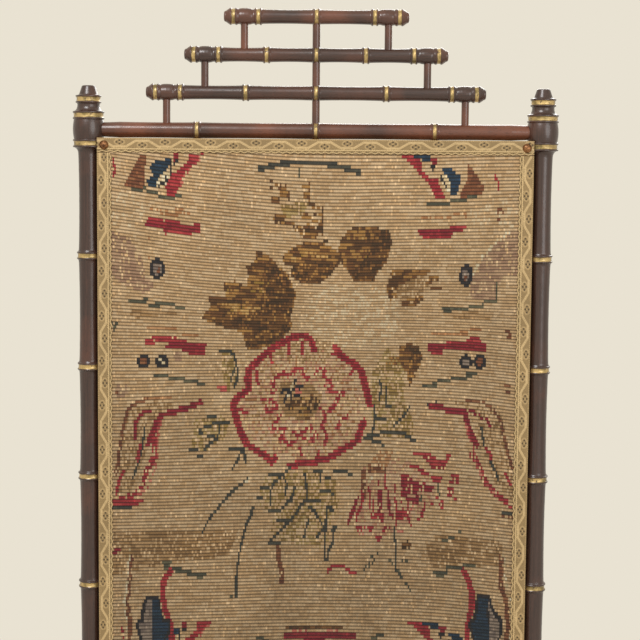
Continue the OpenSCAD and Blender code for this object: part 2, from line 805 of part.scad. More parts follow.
module strainer_bottom_rail() {
    color(pine)
        difference() {
            union() {
                strainer_rail_solid(strainer_bottom);
                translate([-stile_inner, strainer_front, panel_bottom])
                    cube([2 * stile_inner, lap_thickness, lap_rise + cut]);
            }
            tack_holes();
        }
}

module strainer_cross_bar() {
    color(pine)
        difference() {
            strainer_rail_solid(panel_mid_z - strainer_width / 2);
            translate([-stile_inner, strainer_back - cross_bar_set_back, panel_mid_z - strainer_width])
                cube([2 * stile_inner, strainer_depth, 2 * strainer_width]);
            translate([-stile_inner, strainer_front - cut, panel_mid_z - strainer_width])
                cube([2 * stile_inner, cross_bar_set_back + cut, 2 * strainer_width]);
            tack_holes();
        }
}

module needlework() {
    color(wool)
        difference() {
            translate([-panel_x + canvas_edge, needlework_front, panel_bottom + canvas_edge])
                cube([2 * (panel_x - canvas_edge), needlework_t,
                      panel_top - panel_bottom - 2 * canvas_edge]);
            post_clearance();
            nail_holes();
        }
}

module backing_cloth() {
    color(linen)
        difference() {
            translate([-backing_x, strainer_back, backing_bottom])
                cube([2 * backing_x, backing_t, backing_top - backing_bottom]);
            tack_holes();
        }
}

// Cross-section of the braid: x from its outer edge inwards, y standing off the canvas
module braid_section() {
    cord_gap = (braid_w - braid_band_w - 2 * braid_cord_d) / 2;
    intersection() {
        union() {
            square([braid_band_w, braid_t]);
            for (x = [1, braid_band_w - 1])
                translate([x, braid_t - selvedge_sink]) circle(r = 1);
            square([braid_w - braid_cord_d / 2, braid_t / 2]);
            for (i = [1, 2])
                translate([braid_band_w + i * (braid_cord_d + cord_gap) - braid_cord_d / 2,
                           braid_cord_d / 2])
                    circle(d = braid_cord_d);
        }
        square([braid_w, braid_t + braid_cord_d]);
    }
}

// Strip of braid along X, its outer edge up, centred on x = 0
module braid_run(length) {
    translate([-length / 2, needlework_front, 0])
        rotate([0, 90, 0])
            linear_extrude(length)
                mirror([0, 1])
                    braid_section();
}

module braid_top() {
    color(gimp)
        difference() {
            translate([0, 0, panel_top]) braid_run(2 * panel_x);
            post_clearance();
            nail_holes();
        }
}

module braid_bottom() {
    color(gimp)
        difference() {
            translate([0, 0, panel_bottom]) mirror([0, 0, 1]) braid_run(2 * panel_x);
            post_clearance();
            nail_holes();
        }
}

module braid_side() {
    translate([panel_x, 0, (panel_top + panel_bottom) / 2])
        rotate([0, 90, 0])
            braid_run(panel_top - panel_bottom - 2 * braid_w);
}

module braid_left() {
    color(gimp)
        difference() {
            mirror([1, 0, 0]) braid_side();
            post_clearance();
        }
}

module braid_right() {
    color(gimp)
        difference() {
            braid_side();
            post_clearance();
        }
}

// Dome-headed nail pointing back along +Y, its head's underside at y = 0
module dome_nail(head_d, head_h, shank_d, shank) {
    r = (head_d * head_d / 4 + head_h * head_h) / (2 * head_h);
    reach = asin(head_d / 2 / r);
    crown = 2;
    rotate([90, 0, 0])
        turned(concat(
            [[0.2, -shank]],
            [[shank_d / 2, -shank + 1.5]],
            [[shank_d / 2, 0]],
            [for (i = [0:6]) let (a = reach + (crown - reach) * i / 6) [r * sin(a), r * cos(a) - r + head_h]]
        ));
}

module corner_nails() {
    color(brass)
        for (x = [-nail_x, nail_x], z = nail_z)
            translate([x, braid_front, z])
                dome_nail(nail_head_d, nail_head_h, nail_shank_d, nail_shank);
}

module panel_screw() {
    length = screw_tip_x - stile_inner;
    rotate([0, 90, 0])
        difference() {
            turned([
                [screw_head_d / 2, 0],
                [screw_d / 2, screw_head_h],
                [screw_d / 2, length - 4],
                [0.4, length],
            ]);
            translate([-screw_head_d, -0.6, -cut]) cube([2 * screw_head_d, 1.2, cut + 1.1]);
        }
}

module panel_screws() {
    color(steel)
        for (side = [-1, 1], z = screw_z)
            mirror([side < 0 ? 1 : 0, 0, 0])
                translate([stile_inner, 0, z]) panel_screw();
}

module backing_tacks() {
    color(brass)
        for (p = tack_places)
            translate([p[0], strainer_back + backing_t, p[1]])
                rotate([180, 0, 0])
                    dome_nail(tack_head_d, tack_head_h, tack_shank_d, tack_shank);
}

left_post();
right_post();
left_finial();
right_finial();
top_rail();
bottom_rail();
stretcher();
crest_rail_lower();
crest_rail_middle();
crest_rail_upper();
lower_spindle(-1);  // crest_spindle_lower_left
lower_spindle(1);  // crest_spindle_lower_right
middle_spindle(-1);  // crest_spindle_middle_left
middle_spindle(1);  // crest_spindle_middle_right
upper_spindle(-1);  // crest_spindle_upper_left
upper_spindle(1);  // crest_spindle_upper_right
crest_centre_rod();
base_spindle(-lower_spindle_offset);  // base_spindle_left
base_spindle(0);  // base_spindle_centre
base_spindle(lower_spindle_offset);  // base_spindle_right
left_foot();
right_foot();
brace(-1, 1);  // brace_left_front
brace(-1, -1);  // brace_left_back
brace(1, 1);  // brace_right_front
brace(1, -1);  // brace_right_back
foot_pad(-1, 1);  // foot_pad_left_front
foot_pad(-1, -1);  // foot_pad_left_back
foot_pad(1, 1);  // foot_pad_right_front
foot_pad(1, -1);  // foot_pad_right_back
strainer_left_stile();
strainer_right_stile();
strainer_top_rail();
strainer_bottom_rail();
strainer_cross_bar();
needlework();
backing_cloth();
braid_top();
braid_bottom();
braid_left();
braid_right();
corner_nails();
panel_screws();
backing_tacks();
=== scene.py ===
# Cheval fire screen: french-polished faux bamboo frame, needlework panel, gimp braid border.
# Metres throughout. The front faces -Y and the floor is z = 0.
import math

import bpy
import numpy as np
from mathutils import Matrix, Vector


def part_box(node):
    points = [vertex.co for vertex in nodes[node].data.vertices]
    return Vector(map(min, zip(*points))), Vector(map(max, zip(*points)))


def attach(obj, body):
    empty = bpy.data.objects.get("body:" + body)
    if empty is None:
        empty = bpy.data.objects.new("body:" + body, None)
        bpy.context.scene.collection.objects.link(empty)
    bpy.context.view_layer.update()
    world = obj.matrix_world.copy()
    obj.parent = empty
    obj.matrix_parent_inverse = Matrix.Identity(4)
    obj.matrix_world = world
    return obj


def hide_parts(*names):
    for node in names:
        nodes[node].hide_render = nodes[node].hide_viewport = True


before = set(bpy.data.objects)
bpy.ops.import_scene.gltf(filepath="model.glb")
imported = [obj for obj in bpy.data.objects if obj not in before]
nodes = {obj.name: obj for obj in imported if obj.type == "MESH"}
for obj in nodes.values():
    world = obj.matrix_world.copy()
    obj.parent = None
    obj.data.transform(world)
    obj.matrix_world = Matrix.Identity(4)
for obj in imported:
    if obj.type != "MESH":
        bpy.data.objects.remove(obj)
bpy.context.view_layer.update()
scene = bpy.context.scene
mm = 0.001
tau = 2 * math.pi


def toLinear(colour):
    parts = [int(colour[i:i + 2], 16) / 255 for i in (0, 2, 4)]
    return tuple(c / 12.92 if c <= 0.04045 else ((c + 0.055) / 1.055) ** 2.4 for c in parts) + (1.0,)


# Adds one node: settings are the node's own properties, links go to its sockets by name or number
def addNode(tree, kind, inputs=None, **settings):
    made = tree.nodes.new("ShaderNode" + kind)
    for key, value in settings.items():
        setattr(made, key, value)
    for key, value in (inputs or {}).items():
        socket = made.inputs[key]
        if isinstance(value, bpy.types.NodeSocket):
            tree.links.new(value, socket)
        elif isinstance(value, str):
            socket.default_value = toLinear(value)
        else:
            socket.default_value = value
    return made


def newMaterial(name):
    made = bpy.data.materials.new(name)
    made.use_nodes = True
    made.node_tree.nodes.clear()
    return made, made.node_tree


def darkened(tree, colour, shade):
    grey = addNode(tree, "CombineColor", {0: shade, 1: shade, 2: shade})
    mixed = addNode(tree, "Mix", {0: 1.0, 6: colour, 7: grey.outputs[0]}, data_type="RGBA",
                    blend_type="MULTIPLY")
    return mixed.outputs[2]


def finishMaterial(tree, inputs):
    shader = addNode(tree, "BsdfPrincipled", inputs)
    addNode(tree, "OutputMaterial", {"Surface": shader.outputs[0]})


def dress(names, material):
    for name in names:
        slots = nodes[name].data.materials
        slots.clear()
        slots.append(material)


# Camera: a long lens two metres in front of the screen, level with its upper part and tilted down
camera = {
    "lens": 90.0,
    "sensor": 36.0,
    "place": (0.0077, -2.0504, 0.8782),
    "down": 5.449,
    "turn": 0.007,
    "roll": 0.474,
}


def addCamera():
    data = bpy.data.cameras.new("camera")
    data.lens = camera["lens"]
    data.sensor_width = camera["sensor"]
    made = bpy.data.objects.new("camera", data)
    scene.collection.objects.link(made)
    aim = Matrix.Rotation(math.radians(camera["turn"]), 4, "Z")
    aim = aim @ Matrix.Rotation(math.radians(90 - camera["down"]), 4, "X")
    aim = aim @ Matrix.Rotation(math.radians(camera["roll"]), 4, "Z")
    made.matrix_world = Matrix.Translation(camera["place"]) @ aim
    scene.camera = made


# Studio: a soft key from above and to the left, a broad fill, and a plain pale room
studio = {
    "key": {"place": (-0.9, -1.9, 2.5), "size": 1.1, "power": 42.0},
    "fill": {"place": (1.6, -2.4, 1.3), "size": 1.8, "power": 26.0},
    "back": {"place": (0.6, 2.2, 1.9), "size": 1.6, "power": 30.0},
    "aim": (0.0, 0.0, 0.62),
    "roomLight": 0.55,
    "wall": "E9E2D2",
    "floor": "E4DED0",
    "floorRadius": 0.84,
    "floorFade": 0.3,
}


def addLight(name):
    values = studio[name]
    data = bpy.data.lights.new(name, "AREA")
    data.shape = "DISK"
    data.size = values["size"]
    data.energy = values["power"]
    made = bpy.data.objects.new(name, data)
    scene.collection.objects.link(made)
    made.location = values["place"]
    aim = [a - b for a, b in zip(studio["aim"], values["place"])]
    made.rotation_euler = Vector(aim).to_track_quat("-Z", "Y").to_euler()


def addRoom():
    world = bpy.data.worlds.new("room")
    scene.world = world
    world.use_nodes = True
    tree = world.node_tree
    tree.nodes.clear()
    path = addNode(tree, "LightPath")
    seen = addNode(tree, "Math", {0: path.outputs["Is Camera Ray"], 1: path.outputs["Is Glossy Ray"]},
                   operation="MAXIMUM")
    seen = addNode(tree, "Math", {0: seen.outputs[0], 1: path.outputs["Is Transmission Ray"]},
                   operation="MAXIMUM")
    lit = addNode(tree, "Background", {"Color": "F4F1EA", "Strength": studio["roomLight"]})
    wall = addNode(tree, "Background", {"Color": studio["wall"], "Strength": 1.0})
    mixed = addNode(tree, "MixShader", {0: seen.outputs[0], 1: lit.outputs[0], 2: wall.outputs[0]})
    addNode(tree, "OutputWorld", {"Surface": mixed.outputs[0]})


def addFloor():
    radius = studio["floorRadius"]
    bpy.ops.mesh.primitive_circle_add(vertices=96, radius=radius, fill_type="TRIFAN")
    floor = bpy.context.object
    floor.name = "floor"
    material, tree = newMaterial("paintedFloor")
    place = addNode(tree, "TexCoord")
    distance = addNode(tree, "VectorMath", {0: place.outputs["Object"]}, operation="LENGTH")
    fade = addNode(tree, "MapRange", {"Value": distance.outputs["Value"],
                                      "From Min": radius - studio["floorFade"], "From Max": radius})
    surface = addNode(tree, "BsdfDiffuse", {"Color": studio["floor"]})
    clear = addNode(tree, "BsdfTransparent")
    mixed = addNode(tree, "MixShader", {0: fade.outputs[0], 1: surface.outputs[0], 2: clear.outputs[0]})
    addNode(tree, "OutputMaterial", {"Surface": mixed.outputs[0]})
    floor.data.materials.append(material)


addCamera()
for lamp in ("key", "fill", "back"):
    addLight(lamp)
addRoom()
addFloor()
scene.view_settings.view_transform = "Standard"
print("studio ready")


# Mahogany, turned and french polished over a dark stain: a deep, slightly cloudy gloss that shows
# the long grain and pores, rubbed redder where hands and dusters reach.
# The grooves are laid with bronze gilt that has gone greenish and chipped.
wood = {
    "stain": "2E1E19",
    "body": "493027",
    "rubbed": "7A4630",
    "pore": "17100D",
    "gilt": "C9AC72",
    "giltTarnish": "7C6B3E",
    # the lip colour stands for a painted highlight on the lips as well as worn gilt
    "lipHighlightAndWearColour": "4A3424",
    "grainWidth": 1.3 * mm,
    "grainLength": 70 * mm,
    "poreWidth": 0.35 * mm,
    "poreLength": 7 * mm,
    "cloud": 90 * mm,
    "roughness": 0.34,
}


def turnedMahogany(name, turn=(0, 0, 0), grooves=(), grooveHalf=2.6, mirror=False, red=0.0):
    material, tree = newMaterial(name)
    place = addNode(tree, "TexCoord")
    turned = addNode(tree, "Mapping", {"Vector": place.outputs["Object"],
                                       "Rotation": [math.radians(a) for a in turn]})
    across, along = 1 / wood["grainWidth"], 1 / wood["grainLength"]
    grainSpace = addNode(tree, "VectorMath", {0: turned.outputs[0], 1: (across, across, along)},
                         operation="MULTIPLY")
    grain = addNode(tree, "TexNoise", {"Vector": grainSpace.outputs[0], "Scale": 1.0, "Detail": 4.0,
                                       "Roughness": 0.6, "Distortion": 0.4})
    across, along = 1 / wood["poreWidth"], 1 / wood["poreLength"]
    poreSpace = addNode(tree, "VectorMath", {0: turned.outputs[0], 1: (across, across, along)},
                        operation="MULTIPLY")
    pores = addNode(tree, "TexNoise", {"Vector": poreSpace.outputs[0], "Scale": 1.0, "Detail": 1.0})
    poreMask = addNode(tree, "MapRange", {"Value": pores.outputs[0], "From Min": 0.36, "From Max": 0.28})
    cloud = addNode(tree, "TexNoise", {"Vector": place.outputs["Object"], "Scale": 1 / wood["cloud"],
                                       "Detail": 3.0, "Roughness": 0.55})
    rub = addNode(tree, "MapRange", {"Value": cloud.outputs[0], "From Min": 0.52 - 0.25 * red,
                                     "From Max": 0.75 - 0.1 * red, "To Max": 0.45 + 0.5 * red})
    stained = addNode(tree, "MapRange", {"Value": grain.outputs[0], "From Min": 0.3, "From Max": 0.72})
    base = addNode(tree, "Mix", {0: stained.outputs[0], 6: wood["stain"], 7: wood["body"]},
                   data_type="RGBA")
    base = addNode(tree, "Mix", {0: rub.outputs[0], 6: base.outputs[2], 7: wood["rubbed"]},
                   data_type="RGBA")
    base = addNode(tree, "Mix", {0: poreMask.outputs[0], 6: base.outputs[2], 7: wood["pore"]},
                   data_type="RGBA")
    colour = base.outputs[2]
    metal = 0.0
    roughness = wood["roughness"]
    if grooves:
        # distance from the nearest groove along the turning, with a hand-painted wobble
        axis = addNode(tree, "SeparateXYZ", {0: turned.outputs[0]}).outputs["Z"]
        if mirror:
            axis = addNode(tree, "Math", {0: axis}, operation="ABSOLUTE").outputs[0]
        wobble = addNode(tree, "TexNoise", {"Vector": place.outputs["Object"], "Scale": 1 / (6 * mm),
                                            "Detail": 2.0})
        wobble = addNode(tree, "MapRange", {"Value": wobble.outputs[0], "To Min": -0.9 * mm,
                                            "To Max": 0.9 * mm})
        nearest = None
        for groove in grooves:
            off = addNode(tree, "Math", {0: axis, 1: groove * mm}, operation="SUBTRACT")
            off = addNode(tree, "Math", {0: off.outputs[0]}, operation="ABSOLUTE").outputs[0]
            if nearest is not None:
                off = addNode(tree, "Math", {0: off, 1: nearest}, operation="MINIMUM").outputs[0]
            nearest = off
        edge = addNode(tree, "Math", {0: nearest, 1: wobble.outputs[0]}, operation="ADD").outputs[0]
        half = grooveHalf * mm
        inGroove = addNode(tree, "MapRange", {"Value": edge, "From Min": half + 0.25 * mm,
                                              "From Max": half - 0.25 * mm})
        chips = addNode(tree, "TexNoise", {"Vector": place.outputs["Object"], "Scale": 1 / (5 * mm),
                                           "Detail": 5.0, "Roughness": 0.7})
        kept = addNode(tree, "MapRange", {"Value": chips.outputs[0], "From Min": 0.36,
                                          "From Max": 0.42})
        gilded = addNode(tree, "Math", {0: inGroove.outputs[0], 1: kept.outputs[0]},
                         operation="MULTIPLY").outputs[0]
        tarnish = addNode(tree, "TexNoise", {"Vector": place.outputs["Object"], "Scale": 1 / (9 * mm),
                                             "Detail": 3.0})
        dulled = addNode(tree, "MapRange", {"Value": tarnish.outputs[0], "From Min": 0.4,
                                            "From Max": 0.68})
        gilt = addNode(tree, "Mix", {0: dulled.outputs[0], 6: wood["gilt"], 7: wood["giltTarnish"]},
                       data_type="RGBA")
        # a thin line on the two lips, painted lighter and browner: partly a painted highlight on the
        # lips, partly wear where the gilt smeared over
        lipHighlightAndWear = addNode(tree, "MapRange", {"Value": edge, "From Min": half + 1.5 * mm,
                                             "From Max": half + 0.4 * mm, "To Max": 0.5})
        lipped = addNode(tree, "Mix", {0: lipHighlightAndWear.outputs[0], 6: colour, 7: wood["lipHighlightAndWearColour"]},
                         data_type="RGBA")
        colour = addNode(tree, "Mix", {0: gilded, 6: lipped.outputs[2], 7: gilt.outputs[2]},
                         data_type="RGBA").outputs[2]
        metal = addNode(tree, "Math", {0: gilded, 1: 0.65}, operation="MULTIPLY").outputs[0]
        roughness = addNode(tree, "MapRange", {"Value": gilded, "To Min": wood["roughness"],
                                               "To Max": 0.42}).outputs[0]
    dents = addNode(tree, "TexNoise", {"Vector": place.outputs["Object"], "Scale": 1 / (11 * mm),
                                       "Detail": 3.0})
    relief = addNode(tree, "Math", {0: dents.outputs[0], 1: 0.35, 2: grain.outputs[0]},
                     operation="MULTIPLY_ADD")
    bump = addNode(tree, "Bump", {"Height": relief.outputs[0], "Strength": 0.35, "Distance": 0.35 * mm})
    finishMaterial(tree, {"Base Color": colour, "Metallic": metal, "Roughness": roughness,
                          "Coat Weight": 0.35, "Coat Roughness": 0.16, "Normal": bump.outputs[0]})
    return material


lyingAlongX = (0, 90, 0)
lyingAlongY = (90, 0, 0)
postGrooves = (57.7, 157.2, 192.8, 335.5, 478.2, 620.8, 763.5, 906.2, 941.8, 962.1)
dress(["left_post", "right_post", "left_finial", "right_finial"],
      turnedMahogany("polishedMahoganyPost", grooves=postGrooves))
dress(["top_rail", "bottom_rail"],
      turnedMahogany("polishedMahoganyRail", lyingAlongX, (0, 151), 2.0, mirror=True, red=0.9))
dress(["stretcher"],
      turnedMahogany("polishedMahoganyStretcher", lyingAlongX, (0, 151), 2.0, mirror=True))
crestGrooves = {
    "crest_rail_lower": (0, 89.2, 172.3, 203.75),
    "crest_rail_middle": (0, 62.8, 123.7, 155.15),
    "crest_rail_upper": (0, 73.6, 105.05),
}
for rail, grooves in crestGrooves.items():
    dress([rail], turnedMahogany("polishedMahogany_" + rail, lyingAlongX, grooves, 2.1, mirror=True,
                                 red=0.6 if rail == "crest_rail_upper" else 0.2))
dress(["left_foot", "right_foot"],
      turnedMahogany("polishedMahoganyFoot", lyingAlongY, (26, 89.3, 133.2), 3.2, mirror=True))
dress([n for n in nodes if "spindle" in n or n == "crest_centre_rod" or n.startswith("foot_pad")],
      turnedMahogany("polishedMahoganySpindle", red=0.75))
dress([n for n in nodes if n.startswith("brace") and n.endswith("front")],
      turnedMahogany("polishedMahoganyFrontBrace", (45, 0, 0), red=0.6))
dress([n for n in nodes if n.startswith("brace") and n.endswith("back")],
      turnedMahogany("polishedMahoganyBackBrace", (-45, 0, 0), red=0.6))
print("turned wood dressed")


# Pine, planed and left bare: pale, with a straight early and late grain, browned by age and dust
def planedPine(name, turn):
    material, tree = newMaterial(name)
    place = addNode(tree, "TexCoord")
    turned = addNode(tree, "Mapping", {"Vector": place.outputs["Object"],
                                       "Rotation": [math.radians(a) for a in turn],
                                       "Scale": (1 / (3.5 * mm), 1 / (3.5 * mm), 1 / (160 * mm))})
    rings = addNode(tree, "TexNoise", {"Vector": turned.outputs[0], "Scale": 1.0, "Detail": 3.0,
                                       "Distortion": 0.6})
    darkening = addNode(tree, "TexNoise", {"Vector": place.outputs["Object"], "Scale": 1 / (60 * mm),
                                      "Detail": 3.0})
    grain = addNode(tree, "MapRange", {"Value": rings.outputs[0], "From Min": 0.35, "From Max": 0.65})
    age = addNode(tree, "MapRange", {"Value": darkening.outputs[0], "From Min": 0.4, "From Max": 0.8,
                                     "To Max": 0.6})
    colour = addNode(tree, "Mix", {0: grain.outputs[0], 6: "B79668", 7: "8E6A40"}, data_type="RGBA")
    colour = addNode(tree, "Mix", {0: age.outputs[0], 6: colour.outputs[2], 7: "6B5339"},
                     data_type="RGBA")
    bump = addNode(tree, "Bump", {"Height": rings.outputs[0], "Strength": 0.5, "Distance": 0.3 * mm})
    finishMaterial(tree, {"Base Color": colour.outputs[2], "Roughness": 0.72,
                          "Normal": bump.outputs[0]})
    return material


dress(["strainer_left_stile", "strainer_right_stile"], planedPine("planedPineStile", (0, 0, 0)))
dress(["strainer_top_rail", "strainer_bottom_rail", "strainer_cross_bar"],
      planedPine("planedPineRail", (0, 90, 0)))


# Cast or stamped metal gone dull: bright where it is rubbed on the crown, brown in the hollows
def agedMetal(name, bright, dull, spotSize, roughness):
    material, tree = newMaterial(name)
    place = addNode(tree, "TexCoord")
    spots = addNode(tree, "TexNoise", {"Vector": place.outputs["Object"], "Scale": 1 / spotSize,
                                       "Detail": 4.0, "Roughness": 0.65})
    mask = addNode(tree, "MapRange", {"Value": spots.outputs[0], "From Min": 0.36, "From Max": 0.66})
    colour = addNode(tree, "Mix", {0: mask.outputs[0], 6: bright, 7: dull}, data_type="RGBA")
    dulled = addNode(tree, "MapRange", {"Value": mask.outputs[0], "To Min": roughness,
                                        "To Max": roughness + 0.25})
    bump = addNode(tree, "Bump", {"Height": spots.outputs[0], "Strength": 0.4, "Distance": 0.15 * mm})
    finishMaterial(tree, {"Base Color": colour.outputs[2], "Metallic": 0.9,
                          "Roughness": dulled.outputs[0], "Normal": bump.outputs[0]})
    return material


dress(["corner_nails"], agedMetal("stampedBrassNail", "A87850", "4A2E20", 3.2 * mm, 0.3))
dress(["backing_tacks"], agedMetal("dullBrassTack", "A08050", "5A432A", 2.5 * mm, 0.4))
dress(["panel_screws"], agedMetal("oiledSteelScrew", "8A857D", "4B443D", 2.0 * mm, 0.4))
print("pine and metal dressed")


# The worked canvas. Wool is laid over the threads in rows that stand up as ribs, one row for each
# pair of threads, and the design is painted on a chart with shapes, stitch by stitch.
# Chart places were read off the photograph: one unit is one of its 640 pixels, about
# 1.27 mm at the panel, counted across and down from its top left corner.
canvas = {
    "columns": 258,
    "rowPitch": 4.3 * mm,
    "rowsAbove": 7,
    "hidden": 15 * mm,
    "crest": 0.05 * mm,
    "valley": 1.35 * mm,
    "stitchJitter": 0.12 * mm,
    "sagTop": 28 * mm,
    "sagFoot": 50 * mm,
    "sagFades": (75 * mm, 355 * mm),
    "seed": 11,
}
# Wool shades, each a few dye lots that run on for some stitches along a row
wool = {
    "ground": ("C3A277", "BB986C", "C9A97F", "B79468"),
    "groundWorn": ("D2B68C", "C2A277", "DCC39A", "B8986E"),
    "tan": ("A98457", "9C7749", "B28D60", "8F6C42"),
    "gold": ("B98D4E", "A67A3E", "C59B5C", "94702F"),
    "leaf": ("8E6331", "6B4522", "A3763C", "583A1C"),
    "leafDark": ("66431F", "52361B", "7A5228", "463017"),
    "rust": ("7C4A2C", "6B3E25", "8B5A38", "744528"),
    "rustPale": ("AE7A4C", "9C6A40", "BA8A5C", "A5754A"),
    "red": ("A02F30", "942A2C", "A93B38", "8C2628"),
    "crimson": ("842326", "7A1F23", "8E2A2B", "841F28"),
    "rose": ("BF6A55", "B05548", "CC8268", "A84B42"),
    "blush": ("C29A74", "B98A68", "C8A480", "B5805F"),
    "green": ("57523C", "4C4835", "625B42", "474433"),
    "pine": ("3D3B30", "36352C", "474436", "403C30"),
    "olive": ("A88A52", "98793F", "B39660", "8C6F3C"),
    "navy": ("1E2F3F", "243749", "192936", "22333F"),
    "black": ("241F1E", "2A2423", "1F1B1B", "2E2725"),
    "grey": ("8C7A69", "7F6D5D", "978472", "76665A"),
    "mauve": ("A98665", "9E7B5E", "B28F6C", "977458"),
    "cream": ("D8C49C", "CDB68C", "E0CFAB", "C6AD82"),
}


def layOutStitches():
    low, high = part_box("needlework")
    width, height = high.x - low.x, high.z - low.z
    pitch, above = canvas["rowPitch"], canvas["rowsAbove"]
    rows = above + math.ceil(height / pitch)
    half = np.arange(2 * rows + 1) / 2 - above
    across = np.linspace(0, 1, canvas["columns"] + 1)
    raw, q = np.meshgrid(half * pitch, across, indexing="ij")
    # the stretched canvas sags in the middle near the top and lifts a little near the foot
    fade = np.clip((raw - canvas["sagFades"][0]) / (canvas["sagFades"][1] - canvas["sagFades"][0]), 0, 1)
    fade = fade * fade * (3 - 2 * fade)
    top = canvas["sagTop"] * (np.sin(math.pi / 2 * np.clip(q / 0.58, 0, 1))
                              - 0.18 * np.clip(q - 0.6, 0, 1) / 0.4)
    foot = -canvas["sagFoot"] * q * (0.9 - q) * (0.25 + q)
    down = raw + top * (1 - fade) + foot * fade
    down += 0.5 * mm * np.sin(q * 19 + raw * 31) * np.sin(raw * 47 + 2)
    # rows are squeezed up under the braid, so that the first and last follow the panel's edges
    hidden = canvas["hidden"]
    first, last = down[0], down[-1]
    squeezed = (down - first) / (hidden - first) * hidden
    down = np.where(down < hidden, squeezed, down)
    floor = height - hidden
    squeezed = floor + (down - floor) / (last - floor) * hidden
    down = np.where(down > floor, squeezed, down)
    return {"low": low, "high": high, "width": width, "height": height, "across": q,
            "down": down}


# Where the panel lies in the photograph, in its pixels: it leans over and narrows to its foot
chart = {
    "firstRow": 139.3,
    "rowTilt": 1.8,
    "rowsPerMetre": 796.6,
    "rowsEase": 36,
    "leanStart": 155,
    "leanHeight": 470,
    "leftEdge": 99.5,
    "leftLean": 6.2,
    "leftCurve": 2.2,
    "rightEdge": 535.6,
    "rightLean": 17.4,
    "rightCurve": 1.45,
    "borderRepeat": 468,
}


def chartPlace(across, down):
    rows = chart["firstRow"] + chart["rowTilt"] * (2 * across - 1)
    rows = rows + chart["rowsPerMetre"] * down - chart["rowsEase"] * down ** 2
    foot = np.clip((rows - chart["leanStart"]) / chart["leanHeight"], 0, 2)
    left = chart["leftEdge"] - chart["leftLean"] * foot ** chart["leftCurve"]
    right = chart["rightEdge"] - chart["rightLean"] * foot ** chart["rightCurve"]
    return left + across * (right - left), rows


layout = layOutStitches()
middle = (layout["across"][1::2, :-1] + layout["across"][1::2, 1:]) / 2
middleDown = (layout["down"][1::2, :-1] + layout["down"][1::2, 1:]) / 2
chartX, chartY = chartPlace(middle, middleDown)
dice = np.random.default_rng(canvas["seed"])
shape = chartX.shape
single = dice.random(shape)
# runs of a few stitches from one dye lot
runStart = dice.random(shape) < 0.28
runNumber = np.cumsum(runStart, axis=1) + np.arange(shape[0])[:, None] * 500
runShade = dice.random(runNumber.max() + 1)[runNumber]
stitches = np.zeros(shape + (3,))


def paint(mask, yarn, share=1.0):
    shades = np.array([toLinear(c)[:3] for c in wool[yarn]])
    chosen = (runShade * len(shades)).astype(int)
    mask = mask & (single < share) if share < 1 else mask
    stitches[mask] = shades[chosen[mask]]


# How far each stitch is from a line, as a share of half the line's width, and at least one row
def nearLine(points, width):
    half = width / 2
    squash = half / max(half, 1.75)
    best = np.full(shape, 99.0)
    for (ax, ay), (bx, by) in zip(points, points[1:]):
        dx, dy = bx - ax, (by - ay) * squash
        px, py = chartX - ax, (chartY - ay) * squash
        t = np.clip((px * dx + py * dy) / max(dx * dx + dy * dy, 1e-9), 0, 1)
        best = np.minimum(best, np.hypot(px - t * dx, py - t * dy))
    return best / half


def line(yarn, width, *points, share=1.0):
    paint(nearLine(points, width) <= 1, yarn, share)


def patch(yarn, *points, share=1.0):
    inside = np.zeros(shape, bool)
    for (ax, ay), (bx, by) in zip(points, points[1:] + points[:1]):
        crosses = (ay > chartY) != (by > chartY)
        with np.errstate(divide="ignore", invalid="ignore"):
            at = ax + (chartY - ay) * (bx - ax) / (by - ay)
        inside ^= crosses & (chartX < at)
    paint(inside, yarn, share)


def oval(yarn, x, y, rx, ry, share=1.0):
    paint(((chartX - x) / rx) ** 2 + ((chartY - y) / ry) ** 2 <= 1, yarn, share)


# Short rows of stitches: each is (first column, last column, row)
def rowsOf(yarn, *bars, share=1.0):
    for first, last, row in bars:
        paint((chartX >= first) & (chartX <= last) & (abs(chartY - row) < 1.75), yarn, share)


def workGround():
    paint(np.ones(shape, bool), "ground")
    oval("groundWorn", 355, 315, 48, 32, share=0.5)
    oval("groundWorn", 120, 210, 26, 18, share=0.4)
    oval("groundWorn", 500, 215, 30, 14, share=0.35)
    patch("tan", (110, 533), (235, 530), (225, 556), (150, 566), (108, 575), share=0.8)
    patch("tan", (430, 535), (500, 540), (498, 566), (430, 568), (418, 556), share=0.8)


